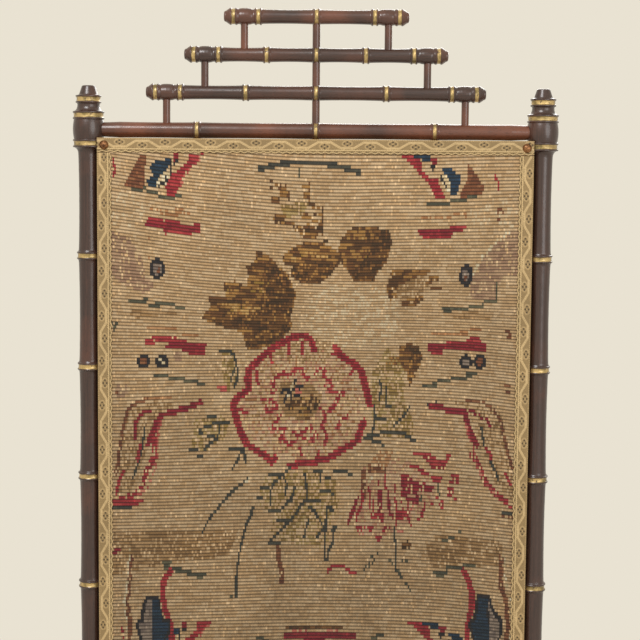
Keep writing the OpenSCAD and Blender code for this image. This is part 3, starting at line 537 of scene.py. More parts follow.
# Upper end of the side borders: flame foot, red slash, rust cone and the bars under them
def workBorderTop(drop):
    def at(*points):
        return tuple((x, y + drop) for x, y in points)

    def bars(*rows):
        return tuple((a, b, y + drop) for a, b, y in rows)

    line("red", 2.4, *at((115.5, 160), (117, 169), (115.5, 178)), share=0.8)
    patch("rust", *at((142, 155), (148, 155), (147, 187), (126, 187), (130, 177), (136, 167)))
    patch("cream", *at((168, 170), (174, 173), (171, 182), (163, 188), (157, 187), (161, 178)))
    patch("navy", *at((159, 159), (173, 159), (171, 166), (165, 173), (160, 179), (158, 187),
                      (151, 187), (149, 181), (155, 174), (151, 168)))
    line("black", 1.7, *at((173, 161), (173.5, 175)))
    line("black", 1.7, *at((168, 176), (161, 186)), share=0.75)
    line("black", 3, *at((163, 182), (169, 181)), share=0.7)
    patch("red", *at((190, 153), (206.5, 153), (197, 163), (187, 173), (182, 184), (177, 195),
                     (169, 195), (167, 186), (174, 174), (183, 168), (190, 161)))
    line("rose", 1.8, *at((203, 157), (190, 171), (183, 184)), share=0.5)
    rowsOf("crimson", *bars((176, 181, 155), (176, 180, 158.5)))
    rowsOf("black", *bars((176, 181, 162)))
    rowsOf("green", *bars((134, 148, 188.7), (148, 161, 192.7), (161, 184, 196.6)))
    rowsOf("rustPale", *bars((150, 186, 210), (162, 193, 213.6)), share=0.7)
    rowsOf("red", *bars((150, 166, 218.6), (148, 182, 222), (167, 202, 232)))
    rowsOf("crimson", *bars((146, 202, 225.6), (165, 202, 229)))
    line("red", 2, *at((497, 176), (501, 182), (500, 190)))
    rowsOf("rust", *bars((499, 504, 209), (500, 506, 213), (500, 503, 218)), share=0.8)
    patch("rust", *at((469, 162), (475, 169), (481, 178), (486, 186), (485, 194), (473, 197),
                      (462, 197), (465, 187), (470, 178)))
    patch("cream", *at((443, 173), (450, 176), (453, 184), (453, 194), (447, 190), (443, 182)))
    patch("navy", *at((442, 166), (451, 166), (456, 171), (464, 177), (462, 185), (459, 194),
                      (452, 194), (453, 184), (451, 178), (446, 172)))
    line("black", 1.7, *at((442.5, 170), (444, 180), (448, 186)), share=0.8)
    patch("red", *at((399, 153), (417, 153), (424, 161), (424, 169), (431, 177), (440, 178),
                     (443, 189), (448, 197), (439, 199), (435, 192), (432, 184), (424, 177),
                     (418, 169), (409, 160)))
    rowsOf("navy", *bars((416, 433, 157), (424, 432, 160.5)))
    rowsOf("crimson", *bars((433, 440, 160), (434, 439, 164)))
    rowsOf("black", *bars((432, 438, 167), (434, 436, 170)))
    rowsOf("green", *bars((429, 453, 202), (453, 470, 198.6), (469, 480, 195)))
    rowsOf("rustPale", *bars((424, 453, 218.5), (453, 469, 215)), share=0.7)
    rowsOf("crimson", *bars((419, 465, 230.3), (422, 455, 233.6)))
    rowsOf("red", *bars((452, 469, 226.6), (424, 453, 237)))


# Middle of the side borders: shadow patch, florets, stepped lines, second red bar
def workBorderMiddle():
    patch("mauve", (112, 232), (129, 235), (143, 257), (147, 277), (157, 285), (146, 293),
          (124, 284), (112, 274), share=0.85)
    line("rustPale", 2, (150, 238), (151, 258), share=0.6)
    patch("mauve", (510, 232), (521, 232), (521, 274), (506, 274), (499, 285), (497, 299),
          (473, 299), (472, 285), (475, 272), (484, 257), (497, 243), share=0.85)
    line("cream", 1.8, (470, 284), (483, 258), (497, 243), (511, 232), share=0.6)
    oval("black", 158.5, 268.5, 7.6, 10.5)
    oval("grey", 158.5, 268.5, 4.6, 6.6)
    oval("rust", 160, 271, 2, 3)
    patch("black", (468, 262), (475, 268), (473, 283), (467, 288), (461, 281), (462, 270))
    oval("grey", 467.5, 275, 3.2, 6.5)
    oval("rust", 467, 277, 1.5, 3)
    rowsOf("green", (130, 150, 300.2), (150, 176, 304.4), (176, 187, 308.3))
    rowsOf("green", (444, 470, 309.6), (470, 486, 305.6), (486, 499, 301.6))
    line("green", 1.7, (498.6, 283), (498.6, 300))
    rowsOf("tan", (130, 178, 312.5), (136, 160, 316), (444, 480, 313.5), (455, 492, 317))
    patch("green", (113, 320), (120, 321), (119, 334), (113, 335), share=0.5)
    rowsOf("rustPale", (147, 178, 328.6), (183, 200, 335), (433, 470, 333.2), (471, 482, 329.6))
    rowsOf("red", (150, 178, 338.2), (146, 188, 341.6), (189, 205, 352), share=0.95)
    rowsOf("crimson", (165, 207, 345.3), (182, 206, 348.7))
    rowsOf("red", (471, 481, 338.6), (447, 483, 342), (431, 443, 352))
    rowsOf("crimson", (428, 487, 345.4), (429, 487, 348.8))
    rowsOf("rust", (507, 512, 331), (508, 513, 336), share=0.7)
    for x, yarn in ((144, "rust"), (162.5, "cream"), (466.5, "grey"), (480.5, "rust")):
        oval("black", x, 361.6, 6.8, 7)
        oval(yarn, x, 361.6, 3.6, 3.8)
    line("black", 1.7, (159, 364), (165, 359), share=0.7)
    oval("mauve", 178.5, 356.5, 4, 5)
    rowsOf("green", (153, 169, 374.2), (168, 185, 378), (184, 198, 381.3), (197, 206, 385))
    rowsOf("green", (422, 438, 384.8), (438, 451, 381.2), (451, 468, 377.9), (466, 478, 374.6))
    oval("mauve", 121, 391, 6.5, 8, share=0.8)
    rowsOf("rust", (114, 119, 394), (505, 511, 386), (506, 511, 392), share=0.8)


# The two long scrolls at the sides
def workScrolls():
    patch("tan", (128, 412), (160, 398), (176, 406), (152, 425), (143, 455), (133, 488),
          (114, 500), (117, 462), (121, 430), share=0.45)
    line("rustPale", 2.2, (144, 397.5), (170, 397.5))
    line("rust", 3.4, (147, 399), (134, 404), (127, 411), (122.5, 427), (118.5, 446), (117, 462),
         (113, 476), share=0.85)
    line("crimson", 3.4, (150.5, 410), (140, 414), (135, 422), (134.5, 438))
    line("crimson", 5.6, (200.5, 402.5), (189, 407), (174, 411.5), (161, 415), (156.5, 421),
         (153.5, 430), (149, 439), (147, 444))
    line("rose", 3, (160, 422), (157, 433), (155, 452), (152, 464), share=0.6)
    line("red", 5.5, (153.5, 440), (153, 456), (149, 465), (145, 472), (141.5, 483), (135, 492),
         (124, 498), (112, 501), share=0.85)
    line("rose", 2.4, (157, 450), (153, 470), (145, 486), (136, 495), share=0.6)
    line("pine", 1.8, (144, 427), (142, 441), (140.5, 450), (136, 465), (130, 480))
    line("red", 3.4, (139.5, 445), (137, 453), (136, 460))
    line("red", 3, (121.5, 471), (117, 482), (113.5, 493))
    rowsOf("red", (110, 141, 500), (110, 136, 503.5))
    rowsOf("pine", (108, 129, 508.8))
    patch("tan", (500, 412), (470, 398), (455, 402), (474, 425), (481, 455), (497, 488),
          (512, 500), (510, 462), (505, 430), share=0.4)
    rowsOf("pine", (427, 437, 403.4))
    line("rust", 3.2, (466, 401), (481, 401), (491, 408), (500, 420), (504, 438), (507, 453),
         (511, 470), share=0.85)
    line("crimson", 3, (470, 410), (479, 416), (486.5, 420.5), (491, 427), share=0.85)
    line("crimson", 5.6, (431, 406), (443, 408), (451, 412), (464, 411), (466, 418), (468, 428),
         (472, 437), (476, 445))
    line("rose", 2.6, (465, 424), (470, 441), (473, 454), share=0.6)
    line("red", 5.4, (471, 455), (477.5, 465), (481, 473), (484, 483), (491, 491), (500, 499),
         (510, 507), share=0.85)
    line("rose", 2.4, (474, 462), (482, 482), (497, 498), share=0.6)
    line("pine", 1.8, (481, 428), (483, 445))
    line("red", 3.4, (485, 448), (489.5, 454), (490, 461))
    line("pine", 1.8, (489.5, 463), (494, 471), (496.5, 479))
    line("red", 3, (504, 475), (508, 484))
    rowsOf("pine", (499, 511, 513))
    rowsOf("rust", (497, 512, 517), share=0.6)


# Lower end of the side borders: flames in two colours with a red slash and a beaded arc
def workFlames():
    line("rust", 4.6, (127, 556), (124, 585), (121.5, 603), (124.5, 626), (121, 650), share=0.9)
    line("cream", 1.8, (126, 551), (122.5, 582), (118.5, 603), (121, 626), (119, 648), share=0.6)
    rowsOf("crimson", (108, 116, 548.6), (108, 113, 552), share=0.9)
    rowsOf("green", (157, 167, 563.6), (160, 177, 567.2), (171, 188, 570.6), (182, 202, 574),
           (192, 199, 577.4))
    line("red", 5.6, (166, 571), (159.5, 580), (157, 593), (159.5, 610), (164.5, 626), (166, 648))
    patch("black", (142, 595), (153, 595), (156, 610), (158, 620), (165, 620), (164, 632),
          (158, 642), (157, 656), (136, 656), (131, 632), (129, 623), (134, 619), (137, 605))
    patch("grey", (143, 600), (148, 600), (147, 626), (145, 654), (138, 654), (134, 632),
          (132, 624), (138, 621), (140, 606))
    patch("navy", (147, 599), (153, 600), (155, 612), (157, 622), (163, 622), (162, 630),
          (156, 641), (155, 654), (146, 654))
    line("rust", 4.6, (498, 556), (496, 585), (501, 602), (502, 626), (499, 650), share=0.9)
    line("cream", 1.8, (500, 556), (501, 580), (505.5, 602), (506, 626), (503, 648), share=0.6)
    rowsOf("green", (459, 471, 564.5), (442, 459, 568.4), (428, 443, 571.8), (432, 440, 575.2))
    line("red", 5.6, (459, 571), (464, 581), (467.5, 593), (466, 609), (463, 620), (459, 648))
    patch("black", (472, 595), (484, 595), (489, 610), (497, 620), (497, 634), (492, 642),
          (491, 656), (470, 656), (466, 638), (462, 624), (468, 617), (470, 606))
    patch("grey", (483, 599), (487, 614), (494, 624), (493, 634), (489, 654), (481, 654),
          (484, 626))
    patch("navy", (474, 599), (483, 600), (481, 615), (483, 627), (481, 654), (472, 654),
          (468, 638), (465, 625), (471, 618))
    rowsOf("leafDark", (279, 337, 626.4), (277, 330, 657))
    rowsOf("crimson", (277, 350, 635), (277, 350, 638.5), (283, 346, 645.3), (290, 338, 648.7))
    rowsOf("rose", (285, 300, 631.6), (318, 332, 631.6), (296, 330, 652), share=0.6)
    rowsOf("green", (250, 258, 637), (369, 377, 636), (256, 262, 640.4), (364, 371, 639.4))


# Bud and brown leaves at the top of the bunch
def workTopLeaves():
    line("pine", 5.4, (262, 168.5), (275, 165), (293, 162.3), (326, 163), (345, 167), (361, 172))
    rowsOf("leaf", (277, 288, 184.3), (281, 289, 188), (282, 290, 191.4), (281, 291, 194.8),
           (271, 281, 198), (273, 282, 201.6), (304, 311, 186), (306, 311, 193), (305, 311, 198),
           (312, 318, 203), (314, 324, 207), (305, 311, 213), (316, 324, 215), (303, 313, 218.6),
           (313, 325, 222), (277, 288, 215.5), (275, 286, 219), (276, 296, 222.4),
           (295, 312, 225.6), (297, 325, 229.2), (301, 324, 232.8), (305, 320, 236.2), share=0.85)
    rowsOf("leafDark", (272, 276, 181), (272, 275, 186), (311, 325, 226), (301, 312, 231.5),
           (322, 331, 240), share=0.85)
    line("leaf", 1.8, (291, 191), (291, 199))
    line("leaf", 1.8, (311, 184), (311, 204))
    line("leafDark", 1.8, (324, 208), (324.5, 233))
    line("green", 1.8, (301, 169), (302, 175))
    patch("olive", (284, 203), (311, 203), (306, 213), (290, 218), (283, 210), share=0.7)
    patch("leaf", (283, 262), (286, 254), (297, 246), (311, 240), (322, 241), (330, 246),
          (338, 250), (345, 254), (341, 263), (336, 270), (330, 277), (323, 282), (316, 283.5),
          (303, 283), (292, 276), (294, 267))
    patch("leafDark", (292, 266), (318, 262), (340, 264), (330, 277), (316, 283.5), (303, 283),
          (292, 276), share=0.75)
    rowsOf("gold", (299, 318, 252.5), (303, 330, 256), (288, 300, 259.5), share=0.6)
    patch("leaf", (344, 238), (350, 231), (359, 225.5), (370, 225.5), (391, 230), (394, 243),
          (388, 262), (378, 274), (375, 282.5), (356, 281), (350, 272), (340, 258), (340, 247))
    patch("leafDark", (372, 226), (391, 230), (394, 243), (388, 262), (378, 274), (375, 282.5),
          (356, 281), (352, 272), (364, 262), (372, 248), (376, 236), share=0.85)
    rowsOf("gold", (352, 368, 232), (348, 366, 239), (352, 372, 249.5), (356, 370, 256), share=0.6)
    patch("tan", (398, 282), (425, 276), (431, 284), (424, 292), (404, 301), (397, 296), share=0.8)
    patch("leaf", (394, 268), (409, 268), (431, 268.5), (432, 273), (418, 277), (409, 281),
          (400, 286), (397, 299), (391, 300), (388, 288), (391, 278), share=0.9)
    patch("leaf", (403, 301), (424, 294), (427, 291), (424, 300), (416, 307), (404, 307), share=0.9)
    rowsOf("leaf", (430, 441, 278), (432, 444, 288), (427, 433, 283), share=0.8)
    patch("leaf", (259, 250), (273, 257), (280, 266), (290, 275), (297, 293), (296, 303),
          (292, 315), (293, 327), (284, 338), (268, 347), (249, 351), (245, 341), (243, 332),
          (224, 327), (211, 322), (202, 318), (212, 306), (209, 297), (227, 296), (224, 284),
          (236, 281), (248, 287), (250, 277), (248, 266), (256, 262))
    patch("leafDark", (268, 262), (286, 272), (296, 293), (292, 316), (292, 328), (268, 346),
          (249, 350), (245, 340), (262, 330), (224, 326), (204, 317), (240, 314), (262, 300),
          (262, 282), share=0.8)
    rowsOf("gold", (224, 246, 305), (232, 262, 309), (228, 250, 312), (252, 266, 290),
           (256, 272, 283), (226, 240, 291), share=0.65)
    rowsOf("leafDark", (228, 262, 302), (236, 280, 316), (212, 240, 319.5), share=0.7)
    patch("leaf", (400, 347), (410, 343), (420, 347), (423, 356), (421, 365), (415, 372),
          (411, 386), (409, 386), (407, 372), (400, 366), (385, 363), (384, 358), (399, 357))
    patch("leafDark", (411, 345), (421, 349), (423, 358), (412, 384), (409, 370), share=0.7)


# The great flower: scalloped outer ring, ragged inner ring, dark heart with black stamens
def workGreatFlower():
    oval("blush", 302, 402, 62, 60, share=0.55)
    oval("tan", 305, 350, 34, 12, share=0.4)
    for step in range(40):
        angle = tau * step / 40
        inner = (302 + 33 * math.cos(angle), 402 + 31 * math.sin(angle))
        outer = (302 + 56 * math.cos(angle + 0.06), 402 + 55 * math.sin(angle + 0.06))
        line("rustPale" if step % 3 else "tan", 1.7, inner, outer, share=0.5)
    outline = (
        ((315, 350), (312, 340), (304, 335), (294, 337), (284, 342), (272.5, 349), (264, 355),
         (257, 362), (249, 370), (247.7, 379), (248.5, 389), (238, 397), (233, 405), (235, 414),
         (237, 423), (241, 434), (245, 443.5), (257, 451.5), (266, 457), (270, 462), (274, 458)),
        ((289, 466), (299, 463.5), (314, 461.5), (329, 457.5), (339, 450.5), (349, 445.5),
         (356.5, 440), (359.5, 431), (363.5, 422)),
        ((336, 348), (342, 356), (349, 360.5), (357, 364.5), (362.5, 373), (364.5, 383),
         (367.5, 393), (369.5, 405)),
    )
    for part in outline:
        line("red", 7, *part)
        line("crimson", 3.2, *part, share=0.75)
    for drip in (((290, 345), (290, 353)), ((303, 342), (303, 354)), ((271, 352), (272, 362)),
                 ((337, 352), (332, 355)), ((357, 366), (351, 373)), ((257, 372), (258, 384)),
                 ((300, 455), (299, 448)), ((240, 410), (246, 413)), ((318, 452), (316, 459))):
        line("red", 3.2, *drip)
    inner = (
        ((272, 393), (274, 389), (273, 381), (280, 375), (284, 372), (288, 375)),
        ((292, 374), (296, 368.5), (302, 369), (304, 375), (309, 378), (308, 383)),
        ((314, 373), (319, 368.5), (325, 368.5), (324, 379), (324, 389), (333, 391), (331, 382),
         (327, 380)),
        ((334, 391), (343.5, 393), (337, 399), (336, 404), (330, 410), (320, 409)),
        ((324, 412), (325, 419), (321, 425), (324, 431), (325, 438.5), (324, 442.5)),
        ((316, 436), (309, 427), (302, 432), (294, 440), (288, 445.5), (286, 441), (279, 439.5),
         (284, 429), (270.5, 430), (274.5, 423), (278.5, 417), (285, 414)),
        ((262.5, 399), (269.5, 398), (271.5, 403), (279, 406), (267, 413), (266, 407)),
        ((348, 415), (340, 422), (337, 427)),
        ((292, 432), (300, 438), (312, 440)),
    )
    for part in inner:
        line("rose", 5, *part, share=0.55)
        line("red", 3.2, *part, share=0.8)
    patch("tan", (280, 383), (312, 384), (322, 396), (316, 412), (306, 422), (286, 416), (278, 402))
    patch("leafDark", (292, 401), (314, 394), (321, 402), (314, 411), (308, 420), (294, 412),
          (284, 405), share=0.75)
    rowsOf("gold", (296, 310, 398), (290, 306, 408.5), (300, 312, 414), share=0.7)
    for tip in ((296.5, 380), (281.5, 391.5), (283.5, 401), (290.5, 399.5), (302, 387)):
        line("black", 2.4, (290.3, 389.2), tip)
    rowsOf("black", (295, 302, 387.4), (294, 300, 394.4))
    line("cream", 1.7, (294, 381.5), (288, 397), share=0.75)
    rowsOf("rose", (296, 302, 391), share=0.9)


# Small leaves and buds beside and below the great flower, drawn mostly in outline
def workSmallLeaves():
    patch("olive", (222, 350), (234, 351), (239, 366), (237, 384), (228, 392), (222, 376), share=0.6)
    line("pine", 2, (220, 350), (230, 350.5), (234, 354), (236.5, 362), (238, 371), (237, 380),
         (234, 388))
    line("green", 1.7, (235, 368), (231, 380))
    rowsOf("rose", (217, 227, 388.5))
    patch("olive", (194, 419), (222, 416), (229, 424), (222, 440), (206, 452), (190, 452), share=0.6)
    rowsOf("pine", (206, 216, 417.5), (211, 229, 421.6), (203, 211, 427), (198, 203, 431.6),
           (186, 197, 450.6), (196, 202, 455), (204, 214, 435), share=0.95)
    line("pine", 1.8, (219, 424), (217, 437), (207, 445), (203, 450))
    line("pine", 2.2, (228, 450.5), (243, 450.5), (244, 462))
    line("pine", 1.7, (240, 452), (235, 462), (231, 468))
    patch("olive", (373, 372), (388, 347), (407, 372), (405, 400), (412, 420), (412, 437),
          (384, 437), (372, 420), share=0.55)
    line("pine", 1.8, (379, 379), (382, 387), (379, 398))
    line("pine", 2.2, (374, 407), (375, 418), (372, 432))
    line("pine", 1.8, (409, 408), (402, 417), (394, 425))
    rowsOf("pine", (363, 379, 436.6), (375, 386, 417.6), (379, 405, 433), (404, 411, 437),
           (409, 415, 439.6), (371, 381, 441.3), (386, 391, 405), (380, 384, 447))
    line("pine", 1.8, (387, 386), (386, 405))
    # stems
    line("pine", 1.9, (247, 479), (233, 489), (224, 498), (215, 508.5), (206, 519), (199, 532))
    line("cream", 1.7, (252, 474), (243, 483), share=0.5)
    line("pine", 3, (251, 507), (247.5, 516), (243, 526))
    line("pine", 1.9, (243, 526), (239.5, 537), (236.5, 548), (234.5, 560), (232, 572),
         (231, 598))
    rowsOf("green", (224, 228, 596))
    line("rust", 4.6, (275, 545), (275, 562), (278, 574), (277, 582), share=0.85)
    line("pine", 1.8, (391, 529), (392, 545), (391.5, 570))
    line("green", 1.8, (386, 560), (393, 570), (406, 592), share=0.8)
    line("green", 1.8, (380, 545), (368, 562), (360, 570), share=0.6)
    rowsOf("green", (397, 404, 561.5), (365, 372, 556), share=0.8)
    patch("leafDark", (397, 543), (408, 540), (410, 547), (400, 551), share=0.6)
    line("red", 3, (323, 571), (330, 566), (339, 566), (345, 571), (351, 574))
    rowsOf("green", (436, 446, 540), (445, 452, 537), (452, 459, 533.5), share=0.7)
    # the large veined leaves under the flower
    patch("olive", (262, 478), (283, 474), (303, 470), (318, 473), (334, 480), (338, 500),
          (330, 520), (324, 548), (300, 545), (278, 541), (266, 536), (272, 514), (258, 505),
          (256, 494), share=0.5)
    line("pine", 1.9, (289, 467), (281, 475), (272, 483), (268, 493), (268, 503))
    rowsOf("pine", (266, 283, 474), (257, 268, 487), (254, 260, 497), (285, 291, 500.5))
    line("pine", 1.8, (281, 476), (285.5, 484), (283, 493))
    line("pine", 2.1, (293, 487), (290, 497), (284, 504), (276, 512))
    rowsOf("pine", (265, 277, 511), (274, 289, 520.8), (304, 319, 501.3), (265, 278, 543))
    line("pine", 2.2, (303, 473), (304, 484), (305, 499), (297, 507), (291, 517), (281, 527),
         (271, 537), (265, 543))
    rowsOf("pine", (311, 321, 471.6), (332, 346, 471.4), (346, 351, 475), (322, 329, 478.4),
           (317, 329, 491.6), (329, 333, 495), (324, 330, 507), (326, 331, 510.5))
    line("pine", 1.8, (318, 474), (319, 482))
    line("pine", 1.9, (305, 506), (311, 510), (316, 518), (320, 526), (321.5, 537), (321, 550),
         (321, 561))
    line("pine", 1.8, (325, 509), (323, 520), (322.5, 532))
    line("pine", 1.9, (306, 521), (302, 530), (300.5, 538))
    line("pine", 1.8, (318, 531), (313, 538))
    rowsOf("pine", (329, 335, 527), (327, 331, 531))
    line("pine", 1.8, (331, 531), (329, 544), (325, 550), (323, 561))


# The loose carnation at lower right: petals drawn in single strokes of red
def workCarnation():
    patch("blush", (352, 520), (362, 468), (382, 455), (408, 462), (424, 470), (440, 480),
          (430, 505), (402, 526), (380, 536), (358, 534), share=0.6)
    patch("rustPale", (376, 452), (392, 452), (386, 466), (372, 474), (364, 474), (366, 464),
          share=0.75)
    patch("rust", (366, 464), (386, 466), (384, 473), (364, 474), share=0.5)
    rowsOf("red", (411, 430, 454.2), (421, 435, 458), (445, 450, 457), (424, 447, 462),
           (428, 445, 465.6), (430, 442, 469), (408, 418, 467.4), (414, 422, 471),
           (419, 427, 474.4), (398, 407, 477.4), (429, 440, 478), (430, 439, 481.6), share=0.92)
    rowsOf("crimson", (399, 424, 484), (408, 432, 487.2), (398, 431, 490.6), (401, 415, 494),
           (403, 416, 498), (408, 416, 501.5), (399, 410, 480.6), share=0.88)
    rowsOf("red", (449, 457, 476), (450, 458, 480), (448, 457, 483.4), (445, 452, 488),
           (445, 452, 491.6), (445, 450, 495), (451, 455, 499), (434, 438, 497), (437, 442, 503),
           (438, 442, 507), (416, 423, 515), (414, 419, 518.4), (428, 431, 504.6), share=0.9)
    line("green", 1.8, (436, 484), (437, 495))
    line("green", 1.8, (420, 496), (418, 501))
    strokes = (
        ("rust", 4.4, ((362, 471), (361.5, 498))),
        ("crimson", 3.6, ((355, 497), (351, 510), (344, 525))),
        ("red", 2.6, ((361, 491), (359, 506), (352, 521))),
        ("red", 1.8, ((367, 488), (368, 508))),
        ("crimson", 5, ((378, 493), (378, 520))),
        ("red", 1.9, ((371, 501), (370, 517))),
        ("crimson", 2.6, ((386, 492), (387, 516))),
        ("red", 1.9, ((393, 484), (393.5, 514))),
        ("red", 1.9, ((376, 480), (376, 492))),
        ("red", 1.9, ((383, 474), (384, 488))),
        ("red", 1.9, ((399, 492), (400, 512))),
        ("red", 2.2, ((406, 503), (405, 516), (408, 526))),
        ("rose", 1.9, ((412, 503), (407, 512))),
        ("red", 1.9, ((423, 504), (421, 511), (416, 518))),
        ("red", 1.9, ((393, 518), (394, 526))),
    )
    for yarn, width, points in strokes:
        line(yarn, width, *points, share=0.92)
    rowsOf("red", (388, 405, 513.6), (389, 404, 517), (352, 359, 528), (354, 359, 531.5),
           (361, 370, 528), (366, 371, 532), (372, 379, 536), (374, 377, 539.5), (381, 387, 528),
           (379, 384, 532), (366, 380, 514), (366, 381, 517.6), share=0.85)
    rowsOf("rose", (392, 400, 531), (356, 361, 534.5), share=0.8)
    rowsOf("cream", (367, 371, 477), (366, 369, 480.6), share=0.8)


workGround()
workBorderTop(0)
workBorderTop(chart["borderRepeat"])
workBorderMiddle()
workScrolls()
workFlames()
workTopLeaves()
workGreatFlower()
workSmallLeaves()
workCarnation()
print("chart worked:", shape[0], "rows of", shape[1], "stitches")


def smoothNoise(x, y, size, seed):
    rng = np.random.default_rng(seed)
    grid = rng.random((64, 64))
    gx, gy = x / size, y / size
    ix, iy = np.floor(gx).astype(int), np.floor(gy).astype(int)
    fx, fy = gx - ix, gy - iy
    fx, fy = fx * fx * (3 - 2 * fx), fy * fy * (3 - 2 * fy)
    a, b = grid[iy % 64, ix % 64], grid[iy % 64, (ix + 1) % 64]
    c, d = grid[(iy + 1) % 64, ix % 64], grid[(iy + 1) % 64, (ix + 1) % 64]
    return (a * (1 - fx) + b * fx) * (1 - fy) + (c * (1 - fx) + d * fx) * fy


# Tone: the panel is painted darker towards its foot, and every stitch's tone differs a little at random
def toneStitches():
    down = np.clip((chartY - 140) / 500, 0, 1.2)
    tone = 1.04 - 0.34 * down
    tone += 0.16 * (smoothNoise(chartX, chartY, 46, 3) - 0.5)
    tone += 0.10 * (smoothNoise(chartX, chartY, 15, 4) - 0.5)
    tone += 0.22 * (single - 0.5)
    pale = (single > 0.982) | ((smoothNoise(chartX, chartY, 28, 5) > 0.72) & (single > 0.93))
    tone = np.where(pale, tone * 1.35, tone)
    return np.clip(stitches * tone[..., None], 0, 1)


def sheetMesh(name, points, faces):
    mesh = bpy.data.meshes.new(name)
    mesh.vertices.add(len(points))
    mesh.vertices.foreach_set("co", np.asarray(points, np.float32).ravel())
    mesh.loops.add(faces.size)
    mesh.loops.foreach_set("vertex_index", faces.astype(np.int32).ravel())
    mesh.polygons.add(len(faces))
    mesh.polygons.foreach_set("loop_start", (np.arange(len(faces)) * 4).astype(np.int32))
    mesh.update(calc_edges=True)
    mesh.validate()
    mesh.polygons.foreach_set("use_smooth", np.ones(len(faces), bool))
    made = bpy.data.objects.new(name, mesh)
    scene.collection.objects.link(made)
    return made


def addMap(made, name, places):
    uv = made.data.uv_layers.new(name=name)
    uv.data.foreach_set("uv", places.astype(np.float32).ravel())


def gridFaces(rows, columns):
    index = np.arange(rows * columns).reshape(rows, columns)
    return np.stack([index[:-1, :-1], index[1:, :-1], index[1:, 1:], index[:-1, 1:]], -1).reshape(-1, 4)


def buildNeedlework():
    low, high = layout["low"], layout["high"]
    across, down = layout["across"], layout["down"]
    x = low.x + across * layout["width"]
    z = high.z - down
    face = low.y
    crestRow = (np.arange(across.shape[0]) % 2 == 1)[:, None]
    depth = np.where(crestRow, canvas["crest"], canvas["valley"]) + 0 * x
    rough = np.random.default_rng(5).random(x.shape)
    depth = depth + canvas["stitchJitter"] * rough
    # the rim is turned back to the strainer's face
    rim = np.minimum.reduce([x - low.x, high.x - x, z - low.z, high.z - z])
    depth = np.where(rim < 1.2 * mm, high.y - face, depth)
    points = np.stack([x, face + depth, z], -1).reshape(-1, 3)
    rows, columns = x.shape
    # the mesh's rows run downwards, so this order faces the front
    made = sheetMesh("needlework_sheet", points, gridFaces(rows, columns))
    colours = np.repeat(toneStitches(), 2, axis=0).reshape(-1, 3)
    colours = np.concatenate([colours, np.ones((len(colours), 1))], 1)
    attribute = made.data.attributes.new("yarn", "FLOAT_COLOR", "CORNER")
    attribute.data.foreach_set("color", np.repeat(colours, 4, axis=0).astype(np.float32).ravel())
    u, v = np.meshgrid(np.arange(columns), np.arange(rows) / 2)
    place = np.stack([u, v], -1).reshape(-1, 2)[gridFaces(rows, columns).ravel()]
    addMap(made, "stitchPlace", place)
    return made


# Wool worked over canvas: matt and slightly furry, each stitch a bead on its rib, with painted shade
# in the valleys between the ribs and between the stitches, and a slight painted highlight on the crests
def woolWork():
    material, tree = newMaterial("woolCanvasWork")
    yarn = addNode(tree, "Attribute", attribute_name="yarn")
    place = addNode(tree, "UVMap", uv_map="stitchPlace")
    spread = addNode(tree, "SeparateXYZ", {0: place.outputs[0]})
    rib = addNode(tree, "Math", {0: spread.outputs["Y"], 1: 0.5}, operation="PINGPONG")
    rib = addNode(tree, "Math", {0: rib.outputs[0], 1: 2.0}, operation="MULTIPLY")
    slant = addNode(tree, "Math", {0: spread.outputs["Y"], 1: 0.9, 2: spread.outputs["X"]},
                    operation="MULTIPLY_ADD")
    strand = addNode(tree, "Math", {0: slant.outputs[0], 1: 0.5}, operation="PINGPONG")
    strand = addNode(tree, "Math", {0: strand.outputs[0], 1: 2.0}, operation="MULTIPLY")
    strand = addNode(tree, "Math", {0: strand.outputs[0], 1: 0.5}, operation="POWER")
    # painted shade: rib valleys darkened to 0.3 of the yarn and crests lifted to 1.06; the gaps between
    # the slanted stitches darkened to 0.82
    darkening = addNode(tree, "MapRange", {"Value": rib.outputs[0], "From Min": 0.0, "From Max": 0.85,
                                      "To Min": 0.3, "To Max": 1.06}, interpolation_type="SMOOTHSTEP")
    stitchGapShade = addNode(tree, "MapRange", {"Value": strand.outputs[0], "From Min": 0.15, "From Max": 0.6,
                                     "To Min": 0.82, "To Max": 1.0})
    shade = addNode(tree, "Math", {0: darkening.outputs[0], 1: stitchGapShade.outputs[0]}, operation="MULTIPLY")
    colour = darkened(tree, yarn.outputs["Color"], shade.outputs[0])
    coords = addNode(tree, "TexCoord")
    fuzz = addNode(tree, "TexNoise", {"Vector": coords.outputs["Object"], "Scale": 1 / (0.7 * mm),
                                      "Detail": 2.0})
    height = addNode(tree, "Math", {0: strand.outputs[0], 1: 0.7, 2: fuzz.outputs[0]},
                     operation="MULTIPLY_ADD")
    bump = addNode(tree, "Bump", {"Height": height.outputs[0], "Strength": 0.8,
                                  "Distance": 0.35 * mm})
    finishMaterial(tree, {"Base Color": colour, "Roughness": 0.88,
                          "Sheen Weight": 0.12, "Sheen Roughness": 0.5, "Normal": bump.outputs[0]})
    return material


needlework = buildNeedlework()
needlework.data.materials.append(woolWork())
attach(needlework, "root")
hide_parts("needlework")
print("needlework stitched")


